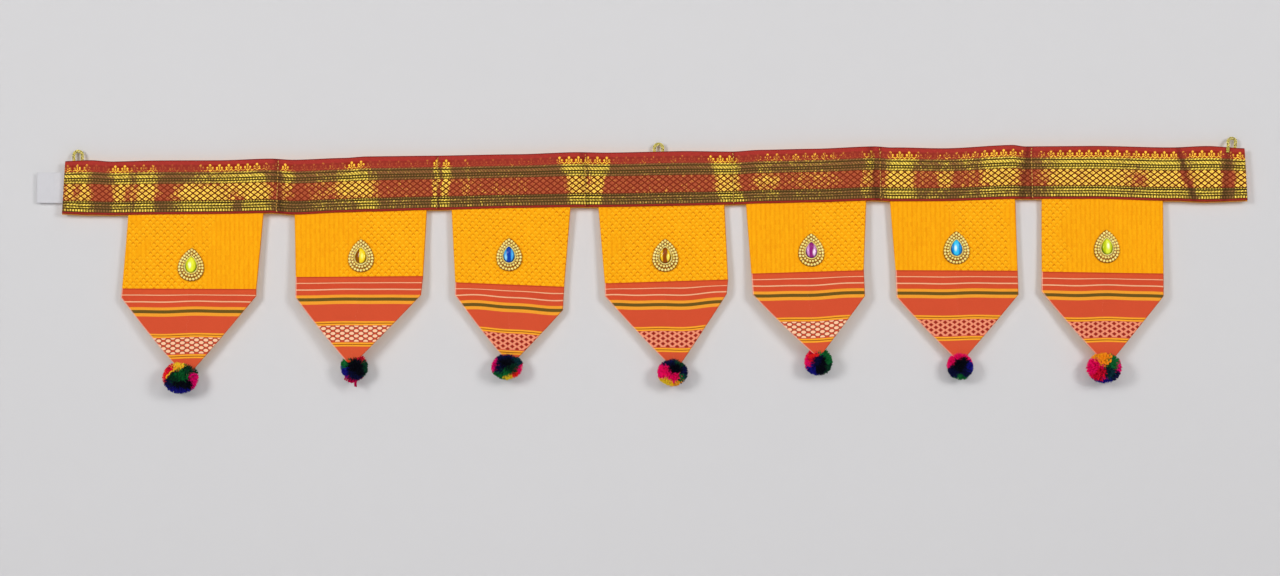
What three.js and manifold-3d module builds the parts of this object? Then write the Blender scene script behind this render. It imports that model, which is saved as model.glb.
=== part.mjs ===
// Toran door hanging: a woven border band on three gold cord loops, with seven
// pointed flaps that each carry a bead brooch and end in a yarn pompom.
// Millimetres. +X runs along the band to the right, +Z is up and -Y faces the
// viewer. The origin is where the nail bears on the centre loop.
import * as THREE from "three";
import { mergeVertices } from "three/addons/utils/BufferGeometryUtils.js";
import Module from "manifold-3d";

const wasm = await Module();
wasm.setup();

// Cloth thicknesses and the clearance between sewn pieces
const SEAT_GAP = 0.3;
const BAND_THICKNESS = 1.6;
const LINING_THICKNESS = 1.0;
const FLAP_THICKNESS = 1.4;
const LABEL_THICKNESS = 1.0;

// Loops of doubled gold cord
const STRAND_DIAMETER = 1.15;
const STRAND_PITCH = 1.05;
const LOOP_OPENING = 5;
const LOOP_LEG_END = -24;
const LOOP_LEG_SPREAD = -0.4;
const CROSSED_LEG_END = -12.2;
const STRAND_ANGLES = [-96, -32, 32, 96];

// A loop's legs are fully aside, and follow the cloth, this far below the nail
const LEGS_ASIDE_BELOW = 12;
const LEGS_ON_CLOTH_BELOW = 5;

// Where a crossed leg comes forward: to the left of the nail, and below it
const CROSSING_LEFT = [-1.5, 3];
const CROSSING_BELOW = [-3, 5];

// Middle planes of the layers, from the cords at the back to the band in front
const LINING_Y = -(STRAND_DIAMETER / 2 + SEAT_GAP + LINING_THICKNESS / 2);
const BAND_Y = LINING_Y - LINING_THICKNESS / 2 - SEAT_GAP - BAND_THICKNESS / 2;
const FLAP_TOP_Y = BAND_Y + BAND_THICKNESS / 2 + SEAT_GAP + FLAP_THICKNESS / 2;
const WALL_Y = 4.6;

// Band and lining
const BAND_ENDS = { leftTop: -533.7, leftBottom: -537.2, rightTop: 527, rightBottom: 529 };
const COLUMN_STEP = 16;
const BAND_ROWS = 3;
const LINING_BELOW_BAND = 0.9;
const LINING_BELOW_TOP = 1.2;
const LINING_PAST_ENDS = 0.6;
const LINING_STEP_BACK = FLAP_THICKNESS + SEAT_GAP;
const STEP_BACK_ENDS_ABOVE_HEM = 14;
const STEP_BACK_STARTS_ABOVE_HEM = 24;

// Flaps
const TUCK = 10;
const TIP_WIDTH = 2.4;
const TIP_IN_FRONT = 0.62;
const FLAP_COLUMNS = 8;
const FLAP_ROWS = { tuck: 1, field: 5, shoulder: 2, point: 6 };

// How far the left and right sides of a flap's point bow outwards
const SIDE_BOW = [1.1, 0.4];

// A flap leans back more steeply towards its tip, and its soft fold is deepest
// halfway down and gone just before the tip
const LEAN_POWER = 1.5;
const FOLD_REACH = 1.02;
const FOLD_POWER = 0.8;

// A slanting side moves this much further sideways to stand off by one
const SLANT_GROWTH = 1.6;

// Pompoms: 32 locks each, one drawn out of every face of a coarse ball
const CORE_SHARE = 0.62;
const LOCK_REACH = 1.04;
const LOCK_SHOULDER = 0.93;
const LOCK_TAPER = 0.3;
const LOCK_UNEVENNESS = 0.06;
const STRAY_LOCK_CONE = -0.93;

// Brooches and stones
const BROOCH = { width: 23.4, height: 29.9, segments: 20 };
const STONE = { width: 9.4, height: 14.7, segments: 14 };
const DROP_SHARPNESS = 0.6;
const DROP_WIDEST = 0.841;

// Height of the band's two edges along its length
const BAND_EDGES = [
  { x: -540, top: -8.6, bottom: -55.6 },
  { x: -512, top: -7.8, bottom: -56.8 },
  { x: -491, top: -9.2, bottom: -57.3 },
  { x: -455, top: -8.7, bottom: -57.2 },
  { x: -393, top: -9.1, bottom: -57.3 },
  { x: -350, top: -8.2, bottom: -57.0 },
  { x: -328, top: -9.5, bottom: -58.7 },
  { x: -284, top: -8.3, bottom: -57.2 },
  { x: -262, top: -7.2, bottom: -56.8 },
  { x: -205, top: -7.1, bottom: -55.9 },
  { x: -125, top: -6.7, bottom: -55.0 },
  { x: -75, top: -5.5, bottom: -54.8 },
  { x: -46, top: -6.2, bottom: -55.1 },
  { x: 21, top: -5.5, bottom: -54.6 },
  { x: 66, top: -6.4, bottom: -54.0 },
  { x: 91, top: -5.2, bottom: -53.3 },
  { x: 140, top: -4.8, bottom: -53.0 },
  { x: 194, top: -3.2, bottom: -51.9 },
  { x: 210, top: -4.4, bottom: -52.8 },
  { x: 258, top: -5.6, bottom: -53.1 },
  { x: 318, top: -3.3, bottom: -51.7 },
  { x: 330, top: -4.8, bottom: -52.0 },
  { x: 385, top: -5.0, bottom: -52.5 },
  { x: 463, top: -7.1, bottom: -55.1 },
  { x: 492, top: -6.2, bottom: -56.4 },
  { x: 532, top: -8.8, bottom: -55.6 },
];

// Long soft waves of the hanging band, in and out from the wall
const RIPPLES = [
  { length: 236, height: 0.8, phase: 0.6 },
  { length: 97, height: 0.4, phase: 2.1 },
  { length: 53, height: 0.2, phase: 4.0 },
];

// The band's lower edge stands out or lies in by this much along its length
const COCKLES = [
  { length: 310, height: 0.7, phase: 1.1 },
  { length: 121, height: 0.4, phase: 3.3 },
];
const BAND_MIDDLE_Z = -31;
const BAND_HEIGHT = 49;

// Stitched seams between the flaps, where all layers are drawn in
const SEAMS = [-342, -199, -66, 67, 199, 335];
const SEAM_DEPTH = 0.6;
const SEAM_HALF_WIDTH = 4;
const SEAM_COLUMNS = [-6.8, -2.4, 2.4, 6.8];
const CLEAR_OF_SEAM = 8.8;

// Each flap's outline as [x, z]: where it leaves the band (top), where the yellow
// field ends (hem), where the sides turn in (corner) and the tip. fold holds the
// depth, length and phase of its soft vertical wave.
const FLAPS = [
  {
    top: [[-478, -56.6], [-356.1, -57.9]],
    hem: [[-484.3, -123.5], [-363, -125.3]],
    corner: [[-485.2, -131.8], [-363.1, -131.7]],
    tip: [-426.1, -203],
    tipShows: false,
    pompom: { x: -431.2, z: -204.1, width: 31, height: 27.5 },
    brooch: { x: -421.7, z: -102.8, tilt: 3.5 },
    fold: { depth: 1.2, length: 74, phase: 0.4 },
  },
  {
    top: [[-328.3, -59.4], [-209.3, -57.1]],
    hem: [[-327.5, -114.9], [-213, -115.4]],
    corner: [[-327.7, -133.4], [-214.9, -132.4]],
    tip: [-277.7, -194.6],
    tipShows: true,
    pompom: { x: -276.5, z: -196, width: 25, height: 24, stray: 6 },
    brooch: { x: -268.7, z: -96.5, tilt: 0 },
    fold: { depth: 0.9, length: 88, phase: 2.0 },
  },
  {
    top: [[-187.1, -56.4], [-79.8, -55.9]],
    hem: [[-184.4, -121.3], [-86.3, -126.4]],
    corner: [[-184.6, -132.8], [-87.7, -147.4]],
    tip: [-135.2, -195.6],
    tipShows: false,
    pompom: { x: -138.4, z: -197.5, width: 28.4, height: 22 },
    brooch: { x: -135.4, z: -96.9, tilt: 0 },
    fold: { depth: 1.4, length: 69, phase: 3.6 },
  },
  {
    top: [[-54.9, -55.1], [58.8, -54.5]],
    hem: [[-49.9, -123.7], [61.2, -121.5]],
    corner: [[-49.7, -135.5], [59.8, -134.5]],
    tip: [12.9, -202],
    tipShows: false,
    pompom: { x: 10.1, z: -204.3, width: 27.4, height: 23.5 },
    brooch: { x: 4.9, z: -99.2, tilt: 0 },
    fold: { depth: 1.3, length: 62, phase: 5.1 },
  },
  {
    top: [[78.1, -55], [186.4, -51.9]],
    hem: [[82, -116.4], [183.1, -114.5]],
    corner: [[83, -135.6], [183.7, -137.7]],
    tip: [140.8, -191.8],
    tipShows: true,
    pompom: { x: 141.2, z: -196.3, width: 24.7, height: 24.1 },
    brooch: { x: 136.1, z: -95.9, tilt: 0 },
    fold: { depth: 1.0, length: 81, phase: 1.2 },
  },
  {
    top: [[207.6, -53.5], [320.7, -51.4]],
    hem: [[211.8, -114.8], [322, -116.5]],
    corner: [[212.4, -139.1], [322.3, -138.1]],
    tip: [268.6, -198],
    tipShows: false,
    pompom: { x: 268.5, z: -201.7, width: 22.8, height: 24.1 },
    brooch: { x: 266.8, z: -95.3, tilt: 0 },
    fold: { depth: 1.1, length: 77, phase: 4.4 },
  },
  {
    top: [[344.2, -52.2], [453.6, -55.1]],
    hem: [[343.5, -117.6], [452.6, -120.5]],
    corner: [[342.9, -135.4], [452.3, -140.7]],
    tip: [400.2, -202],
    tipShows: false,
    pompom: { x: 397.6, z: -204.4, width: 30.6, height: 26.5 },
    brooch: { x: 401.8, z: -95.6, tilt: 0 },
    fold: { depth: 1.2, length: 71, phase: 0.2 },
  },
];

// Where the nail bears on each loop. lean moves the legs to the left, and the
// crossed loop has its left leg in front of the band.
const LOOPS = [
  { name: "left", x: -523.1, z: -0.6, lean: -0.4, crossed: false },
  { name: "centre", x: 0, z: 0, lean: 0.2, crossed: false },
  { name: "right", x: 516.5, z: -0.6, lean: 1.6, crossed: true },
];

// Bare name label sewn behind the band's left end, as [x, z] corners
const LABEL = {
  top: [[-560.4, -18.1], [-531, -18.6]],
  bottom: [[-561, -45.6], [-531, -46.2]],
};

// Section of the brooch plate from its back edge to the stone's seat, and of the
// stone from its back to the crown: outline scale against height above the back
const PLATE_SECTION = [
  { scale: 1, height: 0 },
  { scale: 1, height: 0.9 },
  { scale: 0.89, height: 2.1 },
  { scale: 0.77, height: 1.3 },
  { scale: 0.66, height: 2.1 },
  { scale: 0.55, height: 1.0 },
];
const STONE_SECTION = [
  { scale: 1, height: 0 },
  { scale: 1, height: 0.9 },
  { scale: 0.72, height: 2.1 },
  { scale: 0.34, height: 2.7 },
];
const STONE_CROWN = 2.8;

const STONE_COLOURS = [0xc8d81e, 0xe8a317, 0x1b4fb4, 0x9c5a12, 0xa5369c, 0x2fb6cf, 0xcfe03a];
const POMPOM_COLOURS = [0x16402a, 0x101634, 0x8a1a56, 0xb0105a, 0x143a24, 0x141a52, 0xc01838];

const MATERIALS = {
  band: new THREE.MeshStandardMaterial({ color: 0x9a4a2c, roughness: 0.5, metalness: 0.3 }),
  lining: new THREE.MeshStandardMaterial({ color: 0xf0a030, roughness: 0.9, metalness: 0 }),
  flap: new THREE.MeshStandardMaterial({ color: 0xf5a010, roughness: 0.7, metalness: 0 }),
  cord: new THREE.MeshStandardMaterial({ color: 0xb0a040, roughness: 0.4, metalness: 0.6 }),
  plate: new THREE.MeshStandardMaterial({ color: 0xd0b45c, roughness: 0.3, metalness: 1 }),
  label: new THREE.MeshStandardMaterial({ color: 0xf2f0ee, roughness: 0.6, metalness: 0 }),
};

const group = new THREE.Group();
group.name = "toran";

/** Smooth value of one named column of a table, read at x. */
function tableValue(table, column, x) {
  let i = 0;
  while (i < table.length - 2 && x > table[i + 1].x) {
    i += 1;
  }
  const a = table[i];
  const b = table[i + 1];
  const t = THREE.MathUtils.clamp((x - a.x) / (b.x - a.x), 0, 1);
  return THREE.MathUtils.lerp(a[column], b[column], THREE.MathUtils.smoothstep(t, 0, 1));
}

/** Sum of the sine waves in a table at x. */
function waves(table, x) {
  let sum = 0;
  for (const wave of table) {
    sum += wave.height * Math.sin((2 * Math.PI * x) / wave.length + wave.phase);
  }
  return sum;
}

/** How far the hung cloth stands in from or out of its flat plane near the band. */
function drape(x, z) {
  let y = waves(RIPPLES, x) - waves(RIPPLES, 0);
  for (const seam of SEAMS) {
    y += SEAM_DEPTH * Math.exp(-(((x - seam) / SEAM_HALF_WIDTH) ** 2));
  }
  const below = (BAND_MIDDLE_Z - z) / BAND_HEIGHT;
  return y + (waves(COCKLES, x) - waves(COCKLES, 0)) * (below - BAND_MIDDLE_Z / BAND_HEIGHT);
}

/** Merge a geometry's vertices so that neighbouring faces share them. */
function welded(geometry) {
  const bare = geometry.index ? geometry.toNonIndexed() : geometry.clone();
  bare.deleteAttribute("normal");
  bare.deleteAttribute("uv");
  return mergeVertices(bare, 1e-4);
}

/** Closed slab of cloth over a grid; place(i, j) gives the middle of the cloth. */
function sheetGeometry(columns, rows, thickness, place) {
  const positions = [];
  for (const side of [-0.5, 0.5]) {
    for (let j = 0; j <= rows; j += 1) {
      for (let i = 0; i <= columns; i += 1) {
        const [x, y, z] = place(i, j);
        positions.push(x, y + side * thickness, z);
      }
    }
  }
  const front = (i, j) => j * (columns + 1) + i;
  const back = (i, j) => (rows + 1) * (columns + 1) + front(i, j);
  const faces = [];
  const quad = (a, b, c, d) => faces.push(a, b, c, a, c, d);
  for (let j = 0; j < rows; j += 1) {
    for (let i = 0; i < columns; i += 1) {
      quad(front(i, j), front(i, j + 1), front(i + 1, j + 1), front(i + 1, j));
      quad(back(i, j), back(i + 1, j), back(i + 1, j + 1), back(i, j + 1));
    }
    quad(front(0, j), back(0, j), back(0, j + 1), front(0, j + 1));
    quad(front(columns, j), front(columns, j + 1), back(columns, j + 1), back(columns, j));
  }
  for (let i = 0; i < columns; i += 1) {
    quad(front(i, 0), front(i + 1, 0), back(i + 1, 0), back(i, 0));
    quad(front(i, rows), back(i, rows), back(i + 1, rows), front(i + 1, rows));
  }
  const geometry = new THREE.BufferGeometry();
  geometry.setAttribute("position", new THREE.Float32BufferAttribute(positions, 3));
  geometry.setIndex(faces);
  geometry.computeVertexNormals();
  return geometry;
}

/** Add a named mesh to its parent. */
function addMesh(parent, name, geometry, material) {
  const mesh = new THREE.Mesh(geometry, material);
  mesh.name = name;
  parent.add(mesh);
  return mesh;
}

/** Shares of the band's length at which its columns stand, closer at the seams. */
function columnShares() {
  const length = BAND_ENDS.rightTop - BAND_ENDS.leftTop;
  const places = SEAMS.flatMap((seam) => SEAM_COLUMNS.map((offset) => seam + offset));
  const count = Math.round(length / COLUMN_STEP);
  for (let i = 0; i <= count; i += 1) {
    const x = BAND_ENDS.leftTop + (length * i) / count;
    if (SEAMS.every((seam) => Math.abs(x - seam) > CLEAR_OF_SEAM)) {
      places.push(x);
    }
  }
  places.sort((a, b) => a - b);
  return places.map((x) => (x - BAND_ENDS.leftTop) / length);
}

/** Point on the band's plane at a share of its length, some way above its lower edge. */
function bandPoint(share, downShare, pastEnds, belowTop, belowBottom) {
  const xTop = THREE.MathUtils.lerp(BAND_ENDS.leftTop - pastEnds, BAND_ENDS.rightTop + pastEnds, share);
  const xBottom = THREE.MathUtils.lerp(
    BAND_ENDS.leftBottom - pastEnds,
    BAND_ENDS.rightBottom + pastEnds,
    share,
  );
  const top = tableValue(BAND_EDGES, "top", xTop) - belowTop;
  const bottom = tableValue(BAND_EDGES, "bottom", xBottom) - belowBottom;
  const x = THREE.MathUtils.lerp(xTop, xBottom, downShare);
  return { x, z: THREE.MathUtils.lerp(top, bottom, downShare), height: top - bottom };
}

/** The woven border band that shows in front. */
function buildBand(parent) {
  const shares = columnShares();
  const place = (i, j) => {
    const { x, z } = bandPoint(shares[i], j / BAND_ROWS, 0, 0, 0);
    return [x, BAND_Y + drape(x, z), z];
  };
  const geometry = sheetGeometry(shares.length - 1, BAND_ROWS, BAND_THICKNESS, place);
  addMesh(parent, "band", geometry, MATERIALS.band);
}

/** Middle of the lining, which steps back over the flaps' tucked tops. */
function liningY(x, z, aboveHem) {
  const reach = STEP_BACK_STARTS_ABOVE_HEM - STEP_BACK_ENDS_ABOVE_HEM;
  const share = THREE.MathUtils.clamp((STEP_BACK_STARTS_ABOVE_HEM - aboveHem) / reach, 0, 1);
  return LINING_Y + LINING_STEP_BACK * share + drape(x, z);
}

/** The plain lining behind the band. */
function buildLining(parent) {
  const shares = columnShares();
  const levels = ["top", STEP_BACK_STARTS_ABOVE_HEM, STEP_BACK_ENDS_ABOVE_HEM, 0];
  const place = (i, j) => {
    const whole = bandPoint(shares[i], 1, LINING_PAST_ENDS, LINING_BELOW_TOP, LINING_BELOW_BAND);
    const aboveHem = levels[j] === "top" ? whole.height : levels[j];
    const down = 1 - aboveHem / whole.height;
    const { x, z } = bandPoint(shares[i], down, LINING_PAST_ENDS, LINING_BELOW_TOP, LINING_BELOW_BAND);
    return [x, liningY(x, z, aboveHem), z];
  };
  const geometry = sheetGeometry(shares.length - 1, levels.length - 1, LINING_THICKNESS, place);
  addMesh(parent, "band_lining", geometry, MATERIALS.lining);
}

/** The bare label, sewn flat against the back of the lining. */
function buildLabel(parent) {
  const cells = 3;
  const stand = (LINING_THICKNESS + LABEL_THICKNESS) / 2 + SEAT_GAP;
  const place = (i, j) => {
    const across = i / cells;
    const down = j / cells;
    const x = THREE.MathUtils.lerp(
      THREE.MathUtils.lerp(LABEL.top[0][0], LABEL.bottom[0][0], down),
      THREE.MathUtils.lerp(LABEL.top[1][0], LABEL.bottom[1][0], down),
      across,
    );
    const z = THREE.MathUtils.lerp(
      THREE.MathUtils.lerp(LABEL.top[0][1], LABEL.top[1][1], across),
      THREE.MathUtils.lerp(LABEL.bottom[0][1], LABEL.bottom[1][1], across),
      down,
    );
    return [x, liningY(x, z, 0) + stand, z];
  };
  const geometry = sheetGeometry(cells, cells, LABEL_THICKNESS, place);
  addMesh(parent, "side_label", geometry, MATERIALS.label);
}

/** Radii and middle of the pompom of one flap, its back just off the wall. */
function pompomForm(flap) {
  const { x, z, width, height } = flap.pompom;
  const depth = (width + height) / 2;
  const radii = new THREE.Vector3(width / 2, depth / 2, height / 2);
  return { centre: new THREE.Vector3(x, WALL_Y - radii.y, z), radii };
}

/** Depth of a flap's tip: in the pompom's middle, or in front of the pompom. */
function tipY(flap) {
  const { centre, radii } = pompomForm(flap);
  return flap.tipShows ? centre.y - TIP_IN_FRONT * radii.y : centre.y;
}

/** Middle of a flap's cloth at a point of its outline plane. */
function flapY(flap, x, z) {
  const hang = flap.top[0][1];
  const down = THREE.MathUtils.clamp((hang - z) / (hang - flap.tip[1]), 0, 1);
  const lean = (tipY(flap) - FLAP_TOP_Y) * down ** LEAN_POWER;
  const narrowing = Math.sin(Math.PI * Math.min(1, down * FOLD_REACH)) ** FOLD_POWER;
  const turn = (2 * Math.PI * (x - flap.tip[0])) / flap.fold.length + flap.fold.phase;
  const fold = flap.fold.depth * narrowing * Math.sin(turn);
  return FLAP_TOP_Y + lean + fold + drape(x, z > hang ? z : hang) * (1 - down) ** 2;
}

/** Left and right ends of each row of a flap, from its tucked top to its tip. */
function flapRows(flap, grow) {
  const tuckEdge = flap.top.map(([x, z], side) => {
    const slope = (flap.hem[side][0] - x) / (z - flap.hem[side][1]);
    return [x - slope * TUCK, z + TUCK];
  });
  const half = TIP_WIDTH / 2;
  const [tipX, tipZ] = flap.tip;
  const tipEdge = [[tipX - half, tipZ - grow], [tipX + half, tipZ - grow]];
  const levels = [tuckEdge, flap.top, flap.hem, flap.corner, tipEdge];
  const counts = [FLAP_ROWS.tuck, FLAP_ROWS.field, FLAP_ROWS.shoulder, FLAP_ROWS.point];
  const point = counts.length - 1;
  const rows = [tuckEdge];
  counts.forEach((count, part) => {
    for (let k = 1; k <= count; k += 1) {
      const mix = (side, axis) =>
        THREE.MathUtils.lerp(levels[part][side][axis], levels[part + 1][side][axis], k / count);
      const bow = part === point ? Math.sin((Math.PI * k) / count) : 0;
      rows.push([
        [mix(0, 0) - bow * SIDE_BOW[0], mix(0, 1)],
        [mix(1, 0) + bow * SIDE_BOW[1], mix(1, 1)],
      ]);
    }
  });
  return rows;
}

/** A flap's solid; grow makes it that much larger all round for cutting a slot. */
function flapGeometry(flap, grow) {
  const rows = flapRows(flap, grow);
  const sideways = grow * SLANT_GROWTH;
  const place = (i, j) => {
    const [left, right] = rows[j];
    const share = i / FLAP_COLUMNS;
    const x = THREE.MathUtils.lerp(left[0] - sideways, right[0] + sideways, share);
    const z = THREE.MathUtils.lerp(left[1], right[1], share);
    return [x, flapY(flap, x, z), z];
  };
  return sheetGeometry(FLAP_COLUMNS, rows.length - 1, FLAP_THICKNESS + 2 * grow, place);
}

/** Drop outline, point up, at an angle that starts at the point. */
function dropPoint(size, angle) {
  const across = (Math.sin(angle) * Math.sin(angle / 2) ** DROP_SHARPNESS) / DROP_WIDEST;
  return [(across * size.width) / 2, (Math.cos(angle) * size.height) / 2];
}

/** Closed solid of drop outlines stacked from a flat back towards the viewer. */
function dropSolid(size, section, crown) {
  const count = size.segments;
  const positions = [0, 0, 0];
  for (const { scale, height } of section) {
    for (let k = 0; k < count; k += 1) {
      const [x, z] = dropPoint(size, (2 * Math.PI * k) / count);
      positions.push(x * scale, -height, z * scale);
    }
  }
  positions.push(0, -crown, 0);
  const ring = (level, k) => 1 + level * count + (k % count);
  const last = section.length - 1;
  const top = 1 + section.length * count;
  const faces = [];
  for (let k = 0; k < count; k += 1) {
    faces.push(0, ring(0, k), ring(0, k + 1));
    for (let level = 0; level < last; level += 1) {
      faces.push(ring(level, k), ring(level + 1, k), ring(level, k + 1));
      faces.push(ring(level + 1, k), ring(level + 1, k + 1), ring(level, k + 1));
    }
    faces.push(top, ring(last, k + 1), ring(last, k));
  }
  const geometry = new THREE.BufferGeometry();
  geometry.setAttribute("position", new THREE.Float32BufferAttribute(positions, 3));
  geometry.setIndex(faces);
  geometry.computeVertexNormals();
  return geometry;
}

/** Front of a flap's mesh where a line from the viewer meets it. */
function frontOf(mesh, x, z) {
  const far = 100;
  const ray = new THREE.Raycaster(new THREE.Vector3(x, -far, z), new THREE.Vector3(0, 1, 0));
  return ray.intersectObject(mesh)[0].point.y;
}

/** Brooch plate and stone, lying on the cloth at the brooch's place. */
function buildBrooch(parent, flap, flapMesh, number) {
  const { x, z, tilt } = flap.brooch;
  const step = 4;
  const slopeX = (frontOf(flapMesh, x + step, z) - frontOf(flapMesh, x - step, z)) / (2 * step);
  const slopeZ = (frontOf(flapMesh, x, z + step) - frontOf(flapMesh, x, z - step)) / (2 * step);
  let seat = Infinity;
  for (const scale of [0, 0.25, 0.5, 0.75, 1]) {
    for (let k = 0; k < BROOCH.segments; k += 1) {
      const [dx, dz] = dropPoint(BROOCH, (2 * Math.PI * k) / BROOCH.segments);
      const y = frontOf(flapMesh, x + dx * scale, z + dz * scale);
      seat = Math.min(seat, y - slopeX * dx * scale - slopeZ * dz * scale);
    }
  }
  const holder = new THREE.Group();
  holder.position.set(x, seat - SEAT_GAP, z);
  const lean = -Math.atan(slopeZ);
  const swing = Math.atan(slopeX);
  holder.rotation.copy(new THREE.Euler(lean, THREE.MathUtils.degToRad(tilt), swing, "ZXY"));
  parent.add(holder);
  const seatHeight = PLATE_SECTION[PLATE_SECTION.length - 1].height;
  addMesh(holder, `brooch_${number}`, dropSolid(BROOCH, PLATE_SECTION, seatHeight), MATERIALS.plate);
  const glass = new THREE.MeshStandardMaterial({
    color: STONE_COLOURS[number - 1],
    roughness: 0.1,
    metalness: 0.1,
  });
  const geometry = dropSolid(STONE, STONE_SECTION, STONE_CROWN);
  const stone = addMesh(holder, `stone_${number}`, geometry, glass);
  stone.position.y = -(seatHeight + SEAT_GAP);
}

/** A closed mesh as a solid that can be joined and cut. */
function toSolid(geometry) {
  const bare = welded(geometry);
  return new wasm.Manifold(
    new wasm.Mesh({
      numProp: 3,
      vertProperties: new Float32Array(bare.attributes.position.array),
      triVerts: new Uint32Array(bare.index.array),
    }),
  );
}

/** The largest body of a solid as a geometry. */
function fromSolid(solid) {
  const bodies = solid.decompose();
  bodies.sort((a, b) => b.volume() - a.volume());
  const mesh = bodies[0].getMesh();
  const geometry = new THREE.BufferGeometry();
  geometry.setAttribute("position", new THREE.Float32BufferAttribute(mesh.vertProperties, 3));
  geometry.setIndex(Array.from(mesh.triVerts));
  geometry.computeVertexNormals();
  return geometry;
}

/** Ball of yarn tufts: every face of a coarse ball is drawn out into a lock. */
function tuftBall(form, stray, seed) {
  const ball = new THREE.OctahedronGeometry(1, 1);
  ball.rotateX(0.5 + seed);
  ball.rotateZ(0.8 * seed);
  const round = welded(ball);
  const corners = round.attributes.position;
  const positions = [];
  const push = (direction, reach) => {
    const point = direction.clone().normalize().multiply(form.radii).multiplyScalar(reach);
    positions.push(...point.add(form.centre).toArray());
    return positions.length / 3 - 1;
  };
  for (let k = 0; k < corners.count; k += 1) {
    push(new THREE.Vector3().fromBufferAttribute(corners, k), CORE_SHARE);
  }
  const faces = [];
  for (let k = 0; k < round.index.count; k += 3) {
    const roots = [0, 1, 2].map((step) => round.index.getX(k + step));
    const rays = roots.map((root) => new THREE.Vector3().fromBufferAttribute(corners, root));
    const middle = rays[0].clone().add(rays[1]).add(rays[2]).normalize();
    const hangs = stray && middle.z < STRAY_LOCK_CONE;
    const reach = LOCK_REACH - LOCK_UNEVENNESS * Math.abs(Math.sin(5.1 * k + seed)) + (hangs ? stray : 0);
    const ends = rays.map((ray) => push(ray.lerp(middle, LOCK_TAPER), reach * LOCK_SHOULDER));
    const crown = push(middle, reach);
    for (let side = 0; side < 3; side += 1) {
      const next = (side + 1) % 3;
      faces.push(roots[side], roots[next], ends[next]);
      faces.push(roots[side], ends[next], ends[side]);
      faces.push(ends[side], ends[next], crown);
    }
  }
  const geometry = new THREE.BufferGeometry();
  geometry.setAttribute("position", new THREE.Float32BufferAttribute(positions, 3));
  geometry.setIndex(faces);
  return geometry;
}

/** Pompom of one flap, slotted where the flap's tip goes in. */
function buildPompom(parent, flap, number) {
  const form = pompomForm(flap);
  const stray = (flap.pompom.stray ?? 0) / form.radii.z;
  const ball = toSolid(tuftBall(form, stray, number));
  const solid = ball.subtract(toSolid(flapGeometry(flap, SEAT_GAP)));
  const yarn = new THREE.MeshStandardMaterial({
    color: POMPOM_COLOURS[number - 1],
    roughness: 1,
    metalness: 0,
  });
  addMesh(parent, `pompom_${number}`, fromSolid(solid), yarn);
}

/** Outline of the doubled cord: two round strands joined side by side. */
function cordOutline() {
  const radius = STRAND_DIAMETER / 2;
  const half = STRAND_PITCH / 2;
  const crossing = Math.sqrt(radius * radius - half * half);
  const outline = [];
  for (const side of [1, -1]) {
    outline.push([0, -side * crossing]);
    for (const degrees of STRAND_ANGLES) {
      const angle = THREE.MathUtils.degToRad(degrees);
      outline.push([side * (half + radius * Math.cos(angle)), side * radius * Math.sin(angle)]);
    }
  }
  return outline;
}

/** Route of a loop in its own plane: up the left leg, over the nail, down the right. */
function loopRoute(loop) {
  const bend = LOOP_OPENING / 2 + STRAND_DIAMETER / 2 + STRAND_PITCH / 2;
  const legSteps = 5;
  const arcSteps = 12;
  const centreZ = -LOOP_OPENING / 2;
  const legEnd = (side) => (loop.crossed && side < 0 ? CROSSED_LEG_END : LOOP_LEG_END) - loop.z;
  const leg = (side, share) => ({
    x: side * (bend + LOOP_LEG_SPREAD * share),
    z: THREE.MathUtils.lerp(centreZ, legEnd(side), share),
  });
  const route = [];
  for (let k = legSteps; k > 0; k -= 1) {
    route.push(leg(-1, k / legSteps));
  }
  for (let k = 0; k <= arcSteps; k += 1) {
    const angle = Math.PI * (1 - k / arcSteps);
    route.push({ x: bend * Math.cos(angle), z: centreZ + bend * Math.sin(angle) });
  }
  for (let k = 1; k <= legSteps; k += 1) {
    route.push(leg(1, k / legSteps));
  }
  return route;
}

/** Depth of a crossed loop: its left leg comes forward over the band's edge. */
function crossedY(x, z) {
  const inFront = BAND_Y - BAND_THICKNESS / 2 - SEAT_GAP - STRAND_DIAMETER / 2;
  const left = THREE.MathUtils.smoothstep(-x, ...CROSSING_LEFT);
  const below = THREE.MathUtils.smoothstep(-z, ...CROSSING_BELOW);
  return inFront * left * below;
}

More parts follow.
